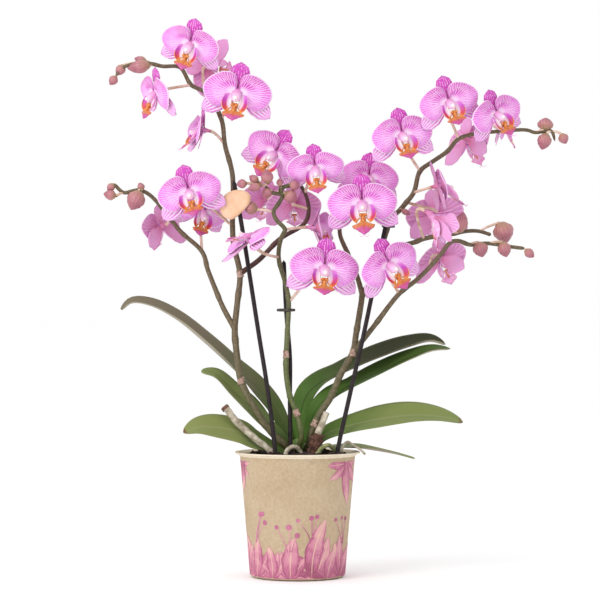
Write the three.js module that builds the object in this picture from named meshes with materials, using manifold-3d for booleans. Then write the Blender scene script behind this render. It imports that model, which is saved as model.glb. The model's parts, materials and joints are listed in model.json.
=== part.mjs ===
// Moth orchid with three flower spikes, staked in a kraft-paper pot.
// Millimetres, +Z up. The origin is the centre of the pot's base, and most flowers face -Y.
import * as THREE from "three";
import { mergeVertices } from "three/addons/utils/BufferGeometryUtils.js";
import Module from "manifold-3d";

const wasm = await Module();
wasm.setup();

// Driving dimensions
const gap = 0.3;
const pot = { height: 100, baseRadius: 37.8, neckRadius: 45.9, neckHeight: 95, rimRadius: 50.2, wall: 1.2 };
const liner = { rimHeight: 93, wall: 1.1, play: 1.2 };
const bark = { top: 95, relief: 4, chips: 10, chipLong: 14, chipWide: 9, chipThick: 6 };
const crown = { foot: 58, top: 109, footRadius: 6, radius: 7.5 };
const stakeRadius = 1.75;
const bladeThickness = 0.85;
const leafThickness = 1.4;
const barkSeed = 17;

const finishes = {
  kraft: { color: 0xdeccb2, roughness: 0.85, metalness: 0 },
  liner: { color: 0x1c1a1a, roughness: 0.45, metalness: 0 },
  bark: { color: 0x3a2a20, roughness: 0.95, metalness: 0 },
  leaf: { color: 0x6f7f42, roughness: 0.45, metalness: 0 },
  stem: { color: 0x6e5f4b, roughness: 0.6, metalness: 0 },
  root: { color: 0xc9bdab, roughness: 0.8, metalness: 0 },
  stake: { color: 0x2b2429, roughness: 0.4, metalness: 0 },
  tag: { color: 0xf0c8a5, roughness: 0.7, metalness: 0 },
  petal: { color: 0xee82e8, roughness: 0.55, metalness: 0 },
};

const model = new THREE.Group();

// Basic helpers
const at = (x, y, z) => new THREE.Vector3(x, y, z);
const route = (rows) => rows.map((row) => at(...row));
const degrees = THREE.MathUtils.degToRad;

// Turns a closed geometry into a solid that can be joined and cut.
function solidOf(geometry) {
  const bare = geometry.clone();
  bare.deleteAttribute("normal");
  bare.deleteAttribute("uv");
  const merged = mergeVertices(bare, 1e-4);
  const vertProperties = merged.getAttribute("position").array;
  const triVerts = new Uint32Array(merged.index.array);
  return new wasm.Manifold(new wasm.Mesh({ numProp: 3, vertProperties, triVerts }));
}

// Turns a solid back into a geometry, without the tiny edges that a join can leave.
function geometryOf(solid) {
  const smallestEdge = 0.02;
  const mesh = largest(solid.simplify(smallestEdge)).getMesh();
  const geometry = new THREE.BufferGeometry();
  geometry.setAttribute("position", new THREE.Float32BufferAttribute(mesh.vertProperties, 3));
  geometry.setIndex(new THREE.Uint32BufferAttribute(mesh.triVerts, 1));
  geometry.computeVertexNormals();
  return geometry;
}

const join = (solids) => solids.reduce((whole, solid) => whole.add(solid));
const larger = (one, other) => (other.volume() > one.volume() ? other : one);
const largest = (solid) => solid.decompose().reduce(larger);

function place(name, geometry, finish) {
  const mesh = new THREE.Mesh(geometry, new THREE.MeshStandardMaterial(finishes[finish]));
  mesh.name = name;
  model.add(mesh);
  return mesh;
}

// Skins a row of closed rings that run counter-clockwise about the way they go.
// Each end is closed by a fan from its tip, which is the ring's middle unless one is given.
function loft(rings, startTip = middleOf(rings[0]), endTip = middleOf(rings.at(-1))) {
  const sides = rings[0].length;
  const points = [...rings.flat(), startTip, endTip];
  const start = points.length - 2;
  const end = points.length - 1;
  const last = (rings.length - 1) * sides;
  const faces = [];
  for (let side = 0; side < sides; side++) {
    const next = (side + 1) % sides;
    faces.push(start, next, side);
    faces.push(end, last + side, last + next);
    for (let low = 0; low < last; low += sides) {
      const high = low + sides;
      faces.push(low + side, low + next, high + next);
      faces.push(low + side, high + next, high + side);
    }
  }
  return solidFrom(points, faces);
}

function middleOf(points) {
  const sum = points.reduce((total, point) => total.add(point), at(0, 0, 0));
  return sum.divideScalar(points.length);
}

function solidFrom(points, faces) {
  const geometry = new THREE.BufferGeometry().setFromPoints(points);
  geometry.setIndex(faces);
  return solidOf(geometry);
}

// Gives a sheet of triangles its thickness: front and back copies, and a wall along the free edges.
// The triangles run counter-clockwise for someone who looks against the halves.
function thickened(points, halves, triangles) {
  const back = points.length;
  const layers = [
    ...points.map((point, index) => point.clone().add(halves[index])),
    ...points.map((point, index) => point.clone().sub(halves[index])),
  ];
  const edges = new Set(triangles.flatMap(([a, b, c]) => [`${a},${b}`, `${b},${c}`, `${c},${a}`]));
  const faces = triangles.flatMap(([a, b, c]) => [a, b, c, back + a, back + c, back + b]);
  for (const edge of edges) {
    const [a, b] = edge.split(",").map(Number);
    if (!edges.has(`${b},${a}`)) {
      faces.push(back + a, back + b, b, back + a, b, a);
    }
  }
  return solidFrom(layers, faces);
}

const fan = (middle, loop) => loop.map((point, index) => [middle, point, loop[(index + 1) % loop.length]]);

// A thin blade: its outline is fanned from its middle.
function blade(outline, middle, thickness) {
  const half = thickness.clone().multiplyScalar(0.5);
  const points = [...outline, middle];
  return thickened(points, points.map(() => half), fan(outline.length, outline.map((_, index) => index)));
}

// A sheet whose rim is split into lobes at its feet, with each lobe fanned from its own middle.
function lobedSheet(rim, feet, middles, halves) {
  const triangles = [];
  middles.forEach((_, lobe) => {
    const first = feet[lobe];
    const last = lobe + 1 < feet.length ? feet[lobe + 1] : rim.length;
    const loop = Array.from({ length: last - first + 1 }, (_, step) => (first + step) % rim.length);
    triangles.push(...fan(rim.length + lobe, loop));
  });
  for (let foot = 2; foot < feet.length; foot++) {
    triangles.push([feet[0], feet[foot - 1], feet[foot]]);
  }
  return thickened([...rim, ...middles], halves, triangles);
}

// A tapered round stem through a row of points, with a ring at each of them.
function stem(points, startRadius, endRadius, sides) {
  const last = points.length - 1;
  const directions = points.map((_, index) => {
    const behind = points[Math.max(0, index - 1)];
    const ahead = points[Math.min(last, index + 1)];
    return ahead.clone().sub(behind).normalize();
  });
  const across = squareTo(directions[0]);
  const turn = new THREE.Quaternion();
  const rings = points.map((centre, index) => {
    const direction = directions[index];
    across.applyQuaternion(turn.setFromUnitVectors(directions[Math.max(0, index - 1)], direction));
    const radius = THREE.MathUtils.lerp(startRadius, endRadius, index / last);
    return ringAbout(centre, across, direction.clone().cross(across), radius, sides);
  });
  return loft(rings);
}

function squareTo(direction) {
  const helper = Math.abs(direction.y) < 0.8 ? at(0, 1, 0) : at(1, 0, 0);
  return helper.addScaledVector(direction, -helper.dot(direction)).normalize();
}

function ringAbout(centre, across, up, radius, sides) {
  return Array.from({ length: sides }, (_, side) => {
    const turn = (2 * Math.PI * side) / sides;
    return centre.clone()
      .addScaledVector(across, radius * Math.cos(turn))
      .addScaledVector(up, radius * Math.sin(turn));
  });
}

const smooth = (points) => new THREE.CatmullRomCurve3(points, false, "centripetal");

// An even rod of a given radius along a curve.
function rod(curve, radius, sides, steps) {
  const section = new THREE.Shape();
  for (let side = 0; side < sides; side++) {
    const turn = (2 * Math.PI * side) / sides;
    const x = radius * Math.cos(turn);
    const y = radius * Math.sin(turn);
    if (side === 0) {
      section.moveTo(x, y);
    } else {
      section.lineTo(x, y);
    }
  }
  section.closePath();
  return solidOf(new THREE.ExtrudeGeometry(section, { steps, extrudePath: curve, curveSegments: 1 }));
}

function turned(profile, sides) {
  const points = profile.map(([radius, height]) => new THREE.Vector2(radius, height));
  const geometry = new THREE.LatheGeometry(points, sides);
  geometry.rotateX(Math.PI / 2);
  return solidOf(geometry);
}

// The paper pot's inner wall lies on a straight cone from its floor to its neck.
const innerPotRadius = (z) => {
  const rise = (z - pot.wall) / (pot.neckHeight - pot.wall);
  return THREE.MathUtils.lerp(pot.baseRadius, pot.neckRadius, rise) - pot.wall;
};

function paperPot() {
  const sides = 36;
  const rimLip = 0.9;
  return turned([
    [0, 0],
    [pot.baseRadius, 0],
    [pot.neckRadius, pot.neckHeight],
    [pot.rimRadius - 0.6, pot.height - 1.8],
    [pot.rimRadius, pot.height - 0.8],
    [pot.rimRadius - rimLip / 2, pot.height],
    [pot.rimRadius - 2 * rimLip, pot.height],
    [pot.neckRadius - pot.wall, pot.neckHeight],
    [innerPotRadius(pot.wall), pot.wall],
    [0, pot.wall],
  ], sides);
}

const linerRadius = (z) => innerPotRadius(z) - liner.play;

// A plain dark plastic grow pot stands inside the paper one and holds the bark.
function growPot() {
  const floor = pot.wall + gap;
  return turned([
    [0, floor],
    [linerRadius(floor), floor],
    [linerRadius(liner.rimHeight), liner.rimHeight],
    [linerRadius(liner.rimHeight) - liner.wall, liner.rimHeight],
    [linerRadius(floor) - liner.wall, floor + liner.wall],
    [0, floor + liner.wall],
  ], 30);
}

// Repeatable draws from 0 to 1.
function drawer(seed) {
  let state = seed;
  return () => {
    state = (state * 1664525 + 1013904223) % 4294967296;
    return state / 4294967296;
  };
}

// The packed mix has a broken, uneven top: each point of its rings is lifted or dropped by chance.
function barkMound(draw) {
  const floor = pot.wall + gap + liner.wall + gap;
  const inside = (z) => linerRadius(z) - liner.wall - gap - 0.4;
  const geometry = new THREE.LatheGeometry([
    new THREE.Vector2(0, floor),
    new THREE.Vector2(inside(floor), floor),
    new THREE.Vector2(inside(bark.top - 4), bark.top - 4),
    new THREE.Vector2(inside(bark.top) * 0.78, bark.top),
    new THREE.Vector2(inside(bark.top) * 0.45, bark.top - 1),
    new THREE.Vector2(0, bark.top - 2),
  ], 18);
  geometry.rotateX(Math.PI / 2);
  geometry.deleteAttribute("normal");
  geometry.deleteAttribute("uv");
  const mound = mergeVertices(geometry, 1e-4);
  const position = mound.getAttribute("position");
  for (let index = 0; index < position.count; index++) {
    if (position.getZ(index) > bark.top - 3) {
      position.setZ(index, position.getZ(index) + (draw() - 0.5) * bark.relief);
    }
  }
  return solidOf(mound);
}

// Bigger broken chips lie on the mix at all angles, sunk about half way in.
function barkChip(draw, index) {
  const size = 0.75 + 0.5 * draw();
  const chip = new THREE.BoxGeometry(bark.chipLong * size, bark.chipWide * size, bark.chipThick);
  chip.rotateX((draw() - 0.5) * 0.9);
  chip.rotateY((draw() - 0.5) * 0.7);
  chip.rotateZ(draw() * Math.PI);
  const widest = linerRadius(bark.top) - liner.wall - bark.chipLong * 0.75;
  const reach = widest * Math.sqrt((index + 0.5) / bark.chips);
  const goldenTurn = 2.4;
  const turn = index * goldenTurn + draw() * 0.5;
  chip.translate(reach * Math.cos(turn), reach * Math.sin(turn), bark.top + draw() * 1.5);
  return solidOf(chip);
}

function barkMix(holes) {
  const draw = drawer(barkSeed);
  const mound = barkMound(draw);
  const chips = Array.from({ length: bark.chips }, (_, index) => barkChip(draw, index));
  return join([mound, ...chips]).subtract(join(holes));
}

// The crown is the short stem in the middle. Around is its extra girth.
function crownBody(around = 0) {
  const { foot, top, footRadius, radius } = crown;
  return turned([
    [0, foot - around],
    [footRadius + around, foot - around],
    [radius + around, 90],
    [radius + around, top - 6],
    [radius - 2.5 + around, top + around],
    [0, top + 1.5 + around],
  ], 8);
}

// Leaves are strap-shaped with a folded midrib. Each row of a midline is a point on the rib.
// Roll turns the blade about its rib: the near edge drops as it grows. The foot has a roll of its own.
const leaves = [
  {
    name: "leaf_left_long", halfWidth: 16, footRoll: 62, roll: 12, fold: 16,
    midline: [[-8, 6, 108], [-12, 9, 121], [-20, 11, 136], [-34, 13, 151], [-51, 13, 166], [-74, 12, 187],
      [-97, 10, 206], [-118, 7, 217], [-133, 5, 219], [-141, 4, 213]],
  },
  {
    name: "leaf_left_middle", halfWidth: 11, footRoll: 46, roll: 30, fold: 14,
    midline: [[-8, 0, 105], [-14, -2, 113], [-24, -3, 121], [-37, -1, 134], [-52, 1, 148], [-65, 2, 161],
      [-77, 0, 164]],
  },
  {
    name: "leaf_left_low", halfWidth: 16, footRoll: 32, roll: 32, fold: 8,
    midline: [[-8, -3, 100], [-15, -5, 102], [-24, -8, 105], [-34, -11, 109], [-45, -15, 115],
      [-60, -19, 119], [-78, -23, 120], [-90, -25, 116]],
  },
  {
    name: "leaf_right_tall", halfWidth: 16, footRoll: 76, roll: 16, fold: 20,
    midline: [[2, 9, 108], [2, 12, 118], [3, 15, 130], [8, 16, 144], [19, 16, 154], [33, 16, 161],
      [50, 15, 169], [70, 15, 177], [90, 15, 184], [107, 14, 188], [119, 13, 185]],
  },
  {
    name: "leaf_right_middle", halfWidth: 13, footRoll: 70, roll: 18, fold: 16,
    midline: [[8, 4, 106], [10, 4, 118], [14, 1, 131], [26, 1, 144], [43, 2, 152], [59, 4, 160],
      [74, 4, 167], [92, 1, 175], [108, -2, 181], [122, -3, 182]],
  },
  {
    name: "leaf_right_broad", halfWidth: 17, footRoll: 40, roll: 26, fold: 12,
    midline: [[8, -3, 98], [13, -4, 104], [20, -5, 112], [37, -7, 119], [67, -12, 126], [93, -15, 129],
      [113, -17, 128], [131, -18, 124]],
  },
  {
    name: "leaf_right_small", halfWidth: 8, footRoll: 4, roll: 4, fold: 10,
    midline: [[3, 7, 101], [20, 9, 103], [34, 9, 103], [49, 9, 102.5], [60, 9, 101], [78, 7, 98],
      [94, 5, 94]],
  },
];

// Half the leaf's width along it: a narrow clasping foot, the widest past the middle, a blunt point.
function leafWidth(along) {
  const foot = 0.36 + 0.64 * THREE.MathUtils.smoothstep(along, 0.02, 0.5);
  const tip = Math.sqrt(Math.max(0, 1 - ((along - 0.55) / 0.46) ** 2));
  return along < 0.55 ? foot : Math.max(tip, 0.12);
}

function leafBody({ halfWidth, footRoll, roll, fold, midline }) {
  const stations = 10;
  const curve = smooth(route(midline));
  const side = Math.sign(midline.at(-1)[0] - midline[0][0]);
  const rings = [];
  for (let index = 0; index <= stations; index++) {
    const along = index / stations;
    const rib = curve.getPointAt(along);
    const forward = curve.getTangentAt(along);
    const across = at(0, 1, 0).addScaledVector(forward, -forward.y).normalize();
    const turn = THREE.MathUtils.lerp(footRoll, roll, THREE.MathUtils.smoothstep(along, 0.05, 0.45));
    across.applyAxisAngle(forward, degrees(turn * side));
    const up = across.clone().cross(forward).multiplyScalar(-side);
    const width = halfWidth * leafWidth(along);
    const raised = width * Math.tan(degrees(fold));
    const far = rib.clone().addScaledVector(across, width).addScaledVector(up, raised);
    const near = rib.clone().addScaledVector(across, -width).addScaledVector(up, raised);
    const edge = up.clone().multiplyScalar(leafThickness * 0.3);
    const middle = up.clone().multiplyScalar(leafThickness * 0.5);
    const ring = [
      near.clone().sub(edge), rib.clone().sub(middle), far.clone().sub(edge),
      far.clone().add(edge), rib.clone().add(middle), near.clone().add(edge),
    ];
    const turnsLeft = across.clone().cross(up).dot(forward) > 0;
    rings.push(turnsLeft ? ring : ring.reverse());
  }
  return loft(rings).subtract(crownBody(gap));
}

// Aerial roots, with their radii from first to last point
const roots = [
  {
    name: "root_left_thick", radii: [2.9, 2.4],
    points: [[-58, -13, 136], [-52, -15, 129], [-46, -17, 122], [-39, -19, 116], [-32, -20, 110],
      [-22, -20, 102], [-15, -19, 94], [-11, -18, 79]],
  },
  {
    name: "root_front_arch", radii: [1.6, 1.8],
    points: [[-9, -33, 77], [-9, -33, 92], [-9, -31, 101], [-5, -28, 105], [0, -24, 104], [4, -21, 97],
      [6, -20, 79]],
  },
  {
    name: "root_pale_stub", radii: [2.5, 5.6],
    points: [[23, -22, 132], [19, -21, 122], [15, -20, 112], [13, -20, 101], [13, -19, 79]],
  },
  {
    name: "root_green_arch", radii: [1.9, 1.7],
    points: [[8, -33, 77], [10, -32, 90], [14, -30, 97], [20, -26, 105], [25, -22, 106], [29, -18, 102],
      [32, -15, 79]],
  },
  {
    name: "root_over_rim", radii: [1.5, 0.9],
    points: [[32, -5, 79], [34, -7, 94], [36, -9, 104], [40, -9.5, 108], [45, -9, 105], [50, -8, 102],
      [54, -7, 98]],
  },
];

const rootBody = ({ points, radii }) => stem(route(points), radii[0], radii[1], 6);

// Plant stakes, pushed down into the bark
const stakes = [
  { name: "stake_left", points: [[-11, -29, 14], [-17, -27, 95], [-23, -23, 146], [-31, -17, 196],
    [-45, -9, 284], [-51, -8, 317]] },
  { name: "stake_centre", points: [[-4, -15, 15], [-5.5, -16, 96], [-6, -15.5, 145], [-6, -12.5, 175],
    [-9, -7.5, 212], [-11, -5.5, 253]] },
  { name: "stake_right", points: [[22, -23, 15], [31, -23, 97], [41, -22, 144], [51, -18, 187],
    [59, -12.5, 224], [70, -7.5, 279], [72, -7, 287]] },
];

const stakeSteps = 9;
const stakeBody = ({ points }, radius) => rod(smooth(route(points)), radius, 6, stakeSteps);

// Flower spikes: each is one grown stem with side branches, which start at a point of the main stem.
const spikes = {
  left: {
    radii: [2.8, 1.1],
    main: [[-3, -5, 98], [-8, -11, 104], [-17, -13, 112], [-27, -14, 124], [-39, -13, 144], [-45, -11, 157],
      [-48, -8, 175], [-50, -5, 198], [-48, -3, 219], [-46, -2, 242], [-51, -1, 265], [-52, 0, 280],
      [-52, 0, 321], [-58, 0, 345], [-61, 0, 366], [-74, 0, 387], [-85, 0, 393], [-94, 0, 407],
      [-108, 0, 408], [-117, 0, 410], [-126, 0, 411], [-141, 0, 406], [-146, 0, 399]],
    branches: {
      side: [[-50, -5, 198], [-59, -1, 214], [-66, 5, 230], [-72, 11, 245], [-77, 16, 260], [-94, 13, 276],
        [-105, 9, 290], [-114, 6, 301], [-121, 4, 307], [-128, 2, 309], [-139, 1, 307], [-147, 0, 314]],
      dark: [[-46, -2, 242], [-31, 3, 253], [-14, 7, 270], [6, 10, 283], [9, 11, 294], [6, 11, 307],
        [-3, 10, 321]],
    },
  },
  centre: {
    radii: [2.1, 1.3],
    main: [[0, -5, 99], [1, -12, 104], [3, -18, 113], [-1, -20, 132], [-6, -21, 145], [-9, -20, 164],
      [-9, -18, 178], [-8, -15, 196], [-7, -13, 219], [-9, -12, 232], [-15, -12, 255], [-13, -12, 270],
      [-10, -12, 277], [-17, -13, 285], [-19, -14, 291], [-14, -17, 299], [-12, -20, 304], [-20, -23, 306],
      [-26, -24, 311]],
    branches: {
      twig: [[-12, -20, 304], [-13, -21, 309], [-6, -21, 312], [-3, -21, 314]],
    },
  },
  right: {
    radii: [2.6, 1.1],
    main: [[6, -4, 101], [9, -10, 107], [11, -14, 115], [14, -15, 123], [20, -14, 134], [26, -12, 143],
      [35, -9, 163], [44, -6, 179], [47, -4, 195], [51, -2, 219], [52, -1, 225], [57, 0, 234], [66, 0, 261],
      [69, 0, 269], [75, 0, 286], [82, 0, 293], [87, 0, 299], [93, 0, 307], [98, 0, 324], [107, 0, 331],
      [120, 0, 340], [129, 0, 350], [143, 0, 354], [163, 0, 356], [183, 0, 357], [190, 0, 355],
      [203, 0, 356], [206, 0, 348]],
    branches: {
      inner: [[52, -1, 225], [48, 4, 239], [40, 8, 259], [34, 11, 275], [36, 13, 291], [43, 17, 309]],
      outer: [[44, -6, 179], [60, -9, 199], [81, -11, 226], [96, -12, 238], [105, -12, 247],
        [113, -12, 256], [122, -12, 267], [128, -12, 268], [137, -12, 265], [151, -12, 266],
        [172, -12, 263], [181, -12, 262]],
      middle: [[66, 0, 261], [93, -1, 267], [101, -1, 270], [125, -1, 274], [135, -1, 276], [145, -1, 276],
        [155, -1, 273]],
    },
  },
};

// Each bloom: its middle, the turns that face it, and the stem point that its stalk grows from.
// Yaw turns it to its own left or right, nod tips it down, roll turns it in its own plane.
const blooms = [
  { name: "bloom_left_01", at: [-84, -22, 425], size: 0.88, yaw: -20, nod: 20, roll: 17,
    from: ["left", "main", 17] },
  { name: "bloom_left_02", at: [-73, 16, 408], size: 0.85, yaw: 160, nod: 0, roll: 86,
    from: ["left", "main", 15] },
  { name: "bloom_left_03", at: [-47, -22, 387], size: 1, yaw: -8, nod: 14, roll: 9,
    from: ["left", "main", 14] },
  { name: "bloom_left_04", at: [-112, -10, 387], size: 0.87, yaw: -62, nod: 15, roll: 10,
    from: ["left", "main", 16] },
  { name: "bloom_left_05", at: [-75, -2, 357], size: 0.85, yaw: -75, nod: -10, roll: 0,
    from: ["left", "main", 13] },
  { name: "bloom_left_06", at: [-17, -2, 339], size: 0.93, yaw: -22, nod: 8, roll: 33,
    from: ["left", "dark", 6] },
  { name: "bloom_left_07", at: [14, -24, 327], size: 0.82, yaw: 0, nod: 25, roll: -7,
    from: ["left", "dark", 5] },
  { name: "bloom_left_08", at: [-86, -20, 308], size: 0.93, yaw: 0, nod: 5, roll: -14,
    from: ["left", "main", 11] },
  { name: "bloom_left_09", at: [-76, 20, 294], size: 0.8, yaw: 20, nod: 28, roll: 15,
    from: ["left", "side", 4] },
  { name: "bloom_left_10", at: [-110, 22, 281], size: 0.8, yaw: 230, nod: 12, roll: 8,
    from: ["left", "side", 6] },
  { name: "bloom_left_11", at: [-3, 20, 298], size: 0.8, yaw: 176, nod: 0, roll: 0,
    from: ["left", "dark", 4] },
  { name: "bloom_left_12", at: [-26, 50, 304], size: 0.8, yaw: 200, nod: 0, roll: 0,
    from: ["left", "dark", 6] },
  { name: "bloom_centre_01", at: [-37, -38, 268], size: 0.85, yaw: -62, nod: -50, roll: -20,
    from: ["centre", "main", 10] },
  { name: "bloom_centre_02", at: [12, -8, 279], size: 0.85, yaw: 75, nod: 0, roll: -15,
    from: ["centre", "main", 12] },
  { name: "bloom_centre_03", at: [21, -32, 248], size: 1, yaw: 8, nod: 6, roll: 6,
    from: ["centre", "main", 8] },
  { name: "bloom_right_01", at: [51, -24, 299], size: 1, yaw: 0, nod: 6, roll: -3,
    from: ["right", "inner", 4] },
  { name: "bloom_right_02", at: [57, 4, 320], size: 0.88, yaw: 8, nod: 0, roll: 5,
    from: ["right", "inner", 5] },
  { name: "bloom_right_03", at: [71, -31, 250], size: 0.95, yaw: 28, nod: 6, roll: -25,
    from: ["right", "outer", 2] },
  { name: "bloom_right_04", at: [82, -22, 353], size: 0.92, yaw: 16, nod: 5, roll: -10,
    from: ["right", "main", 18] },
  { name: "bloom_right_05", at: [119, -22, 379], size: 0.9, yaw: 15, nod: 6, roll: -15,
    from: ["right", "main", 21] },
  { name: "bloom_right_06", at: [157, -14, 370], size: 0.85, yaw: 32, nod: 5, roll: -20,
    from: ["right", "main", 23] },
  { name: "bloom_right_07", at: [138, 28, 351], size: 0.85, yaw: 130, nod: 10, roll: 10,
    from: ["right", "main", 20] },
  { name: "bloom_right_08", at: [166, 30, 364], size: 0.8, yaw: 85, nod: 12, roll: 0,
    from: ["right", "main", 23] },
  { name: "bloom_right_09", at: [112, 38, 292], size: 0.88, yaw: 190, nod: 5, roll: 10,
    from: ["right", "main", 16] },
  { name: "bloom_right_10", at: [112, -10, 312], size: 0.92, yaw: 96, nod: -14, roll: 0,
    from: ["right", "main", 17] },
  { name: "bloom_right_11", at: [115, 12, 255], size: 0.85, yaw: 140, nod: 18, roll: 15,
    from: ["right", "outer", 4] },
  { name: "bloom_right_12", at: [105, -40, 288], size: 0.95, yaw: 95, nod: 30, roll: 0, closed: 50,
    from: ["right", "middle", 2] },
];

// A bloom in its own frame: it faces -Y, its middle is the origin and its stalk meets it behind.
// Outlines are seen from the front and run counter-clockwise.
const bloomBack = 6;
const rightPetal = [[0, -3], [9, -11], [16.5, -13.5], [25, -8], [28, 2], [20, 13], [8, 14.5]];
const leftPetal = [[0, 7], [-8, 14.5], [-20, 13], [-28, 2], [-25, -8], [-16.5, -13.5], [-9, -11]];
const petalMiddles = [[15, 3], [-15, 3]];
const upperSepal = [[2.6, 1.5], [7.4, 10], [4.8, 17.5], [0, 21.5], [-4.8, 17.5], [-7.4, 10]];
const sideSepal = [[2.6, 1.5], [7.8, 17], [0, 34], [-7.8, 17]];
const sepalTurns = [0, -125, 125];
const sepalMiddle = [0, 14];

// Turns a front view outline in its own plane, clockwise for the viewer.
function turnedInPlane(points, turn) {
  const cosine = Math.cos(degrees(turn));
  const sine = Math.sin(degrees(turn));
  return points.map(([x, z]) => [x * cosine + z * sine, z * cosine - x * sine]);
}

// Lays a front view outline at its depth. A bud that is still closed has its tips swung forward.
function raised(points, depth, closed) {
  const swing = degrees(closed);
  return points.map(([x, z]) => {
    const reach = Math.hypot(x, z);
    return at(x * Math.cos(swing), depth(reach) - reach * Math.sin(swing), z * Math.cos(swing));
  });
}

function tepalSheet(outlines, middles, depth, bulge, closed) {
  const rim = raised(outlines.flat(), depth, closed);
  const feet = outlines.map((_, index) => outlines.slice(0, index).flat().length);
  const tops = raised(middles, (reach) => depth(reach) - bulge, closed);
  const half = at(0, -bladeThickness / 2 / Math.cos(degrees(closed)), 0);
  return lobedSheet(rim, feet, tops, [...rim, ...tops].map(() => half));
}

function sepals(closed) {
  const outlines = sepalTurns.map((turn, index) => turnedInPlane(index === 0 ? upperSepal : sideSepal, turn));
  const middles = sepalTurns.map((turn) => turnedInPlane([sepalMiddle], turn)[0]);
  return tepalSheet(outlines, middles, (reach) => 0.5 + 0.05 * reach, 0.9, closed);
}

function petals(closed) {
  return tepalSheet([rightPetal, leftPetal], petalMiddles, (reach) => -1.7 - 0.03 * reach, 2.2, closed);
}

function columnAndHub() {
  const stations = [[bloomBack, 0, 1.5], [-0.5, 0, 3.4], [-9.5, -3.2, 3.3]];
  const rings = stations.map(([y, z, radius]) => ringAbout(at(0, y, z), at(1, 0, 0), at(0, 0, 1), radius, 4));
  return loft(rings, at(0, bloomBack, 0), at(0, -12, -4));
}

// The lip is one folded sheet: a left lobe, the middle lobe that hangs forward, and a right lobe.
function lip() {
  const rim = route([
    [-1.8, -2, -2.2], [-7.5, -6, -2.2], [-10.4, -11, -4.5], [-8.6, -13, -10],
    [-2.4, -9, -11], [-4.4, -11.5, -13.5], [-8, -14.5, -16], [0, -18.5, -21], [8, -14.5, -16],
    [4.4, -11.5, -13.5],
    [2.4, -9, -11], [8.6, -13, -10], [10.4, -11, -4.5], [7.5, -6, -2.2], [1.8, -2, -2.2],
  ]);
  const feet = [0, 4, 10, 14];
  const middles = route([[-6.2, -8.2, -7.5], [0, -13, -14.5], [6.2, -8.2, -7.5]]);
  const sideways = (point) => {
    const lean = 0.7 * THREE.MathUtils.smoothstep(Math.abs(point.x), 1, 6);
    return at(-Math.sign(point.x) * lean, -0.7, 0);
  };
  const isSideLobe = (point) => point.z > -10.5 && Math.abs(point.x) > 3;
  const halves = [...rim, ...middles].map((point) => {
    const facing = isSideLobe(point) ? sideways(point) : at(0, -0.7, 0.7);
    return facing.setLength(bladeThickness / 2);
  });
  return lobedSheet(rim, feet, middles, halves);
}

function bloomBody({ size, closed = 0 }) {
  return join([columnAndHub(), sepals(closed), petals(closed), lip()]).scale(size);
}

function faceBloom(object, { at: middle, yaw, nod, roll }) {
  object.position.set(...middle);
  object.rotation.set(degrees(nod), degrees(roll), degrees(yaw), "ZXY");
  object.updateMatrix();
  return object;
}

// The stalk leaves its stem, sweeps round and meets the bloom's back square on.
function bloomStalk(bloom) {
  const [spike, branch, index] = bloom.from;
  const points = branch === "main" ? spikes[spike].main : spikes[spike].branches[branch];
  const start = at(...points[index]);
  const placed = faceBloom(new THREE.Object3D(), bloom);
  const back = bloomBack * bloom.size + gap;
  const behindBloom = (distance) => at(0, back + distance, 0).applyMatrix4(placed.matrix);
  const end = behindBloom(0);
  const lastBit = behindBloom(1.5);
  const behind = behindBloom(start.distanceTo(end) * 0.28);
  const curve = new THREE.CubicBezierCurve3(start, start.clone().lerp(behind, 0.5), behind, lastBit);
  return stem([...curve.getSpacedPoints(3), end], 1.3, 1.1, 3);
}

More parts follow.
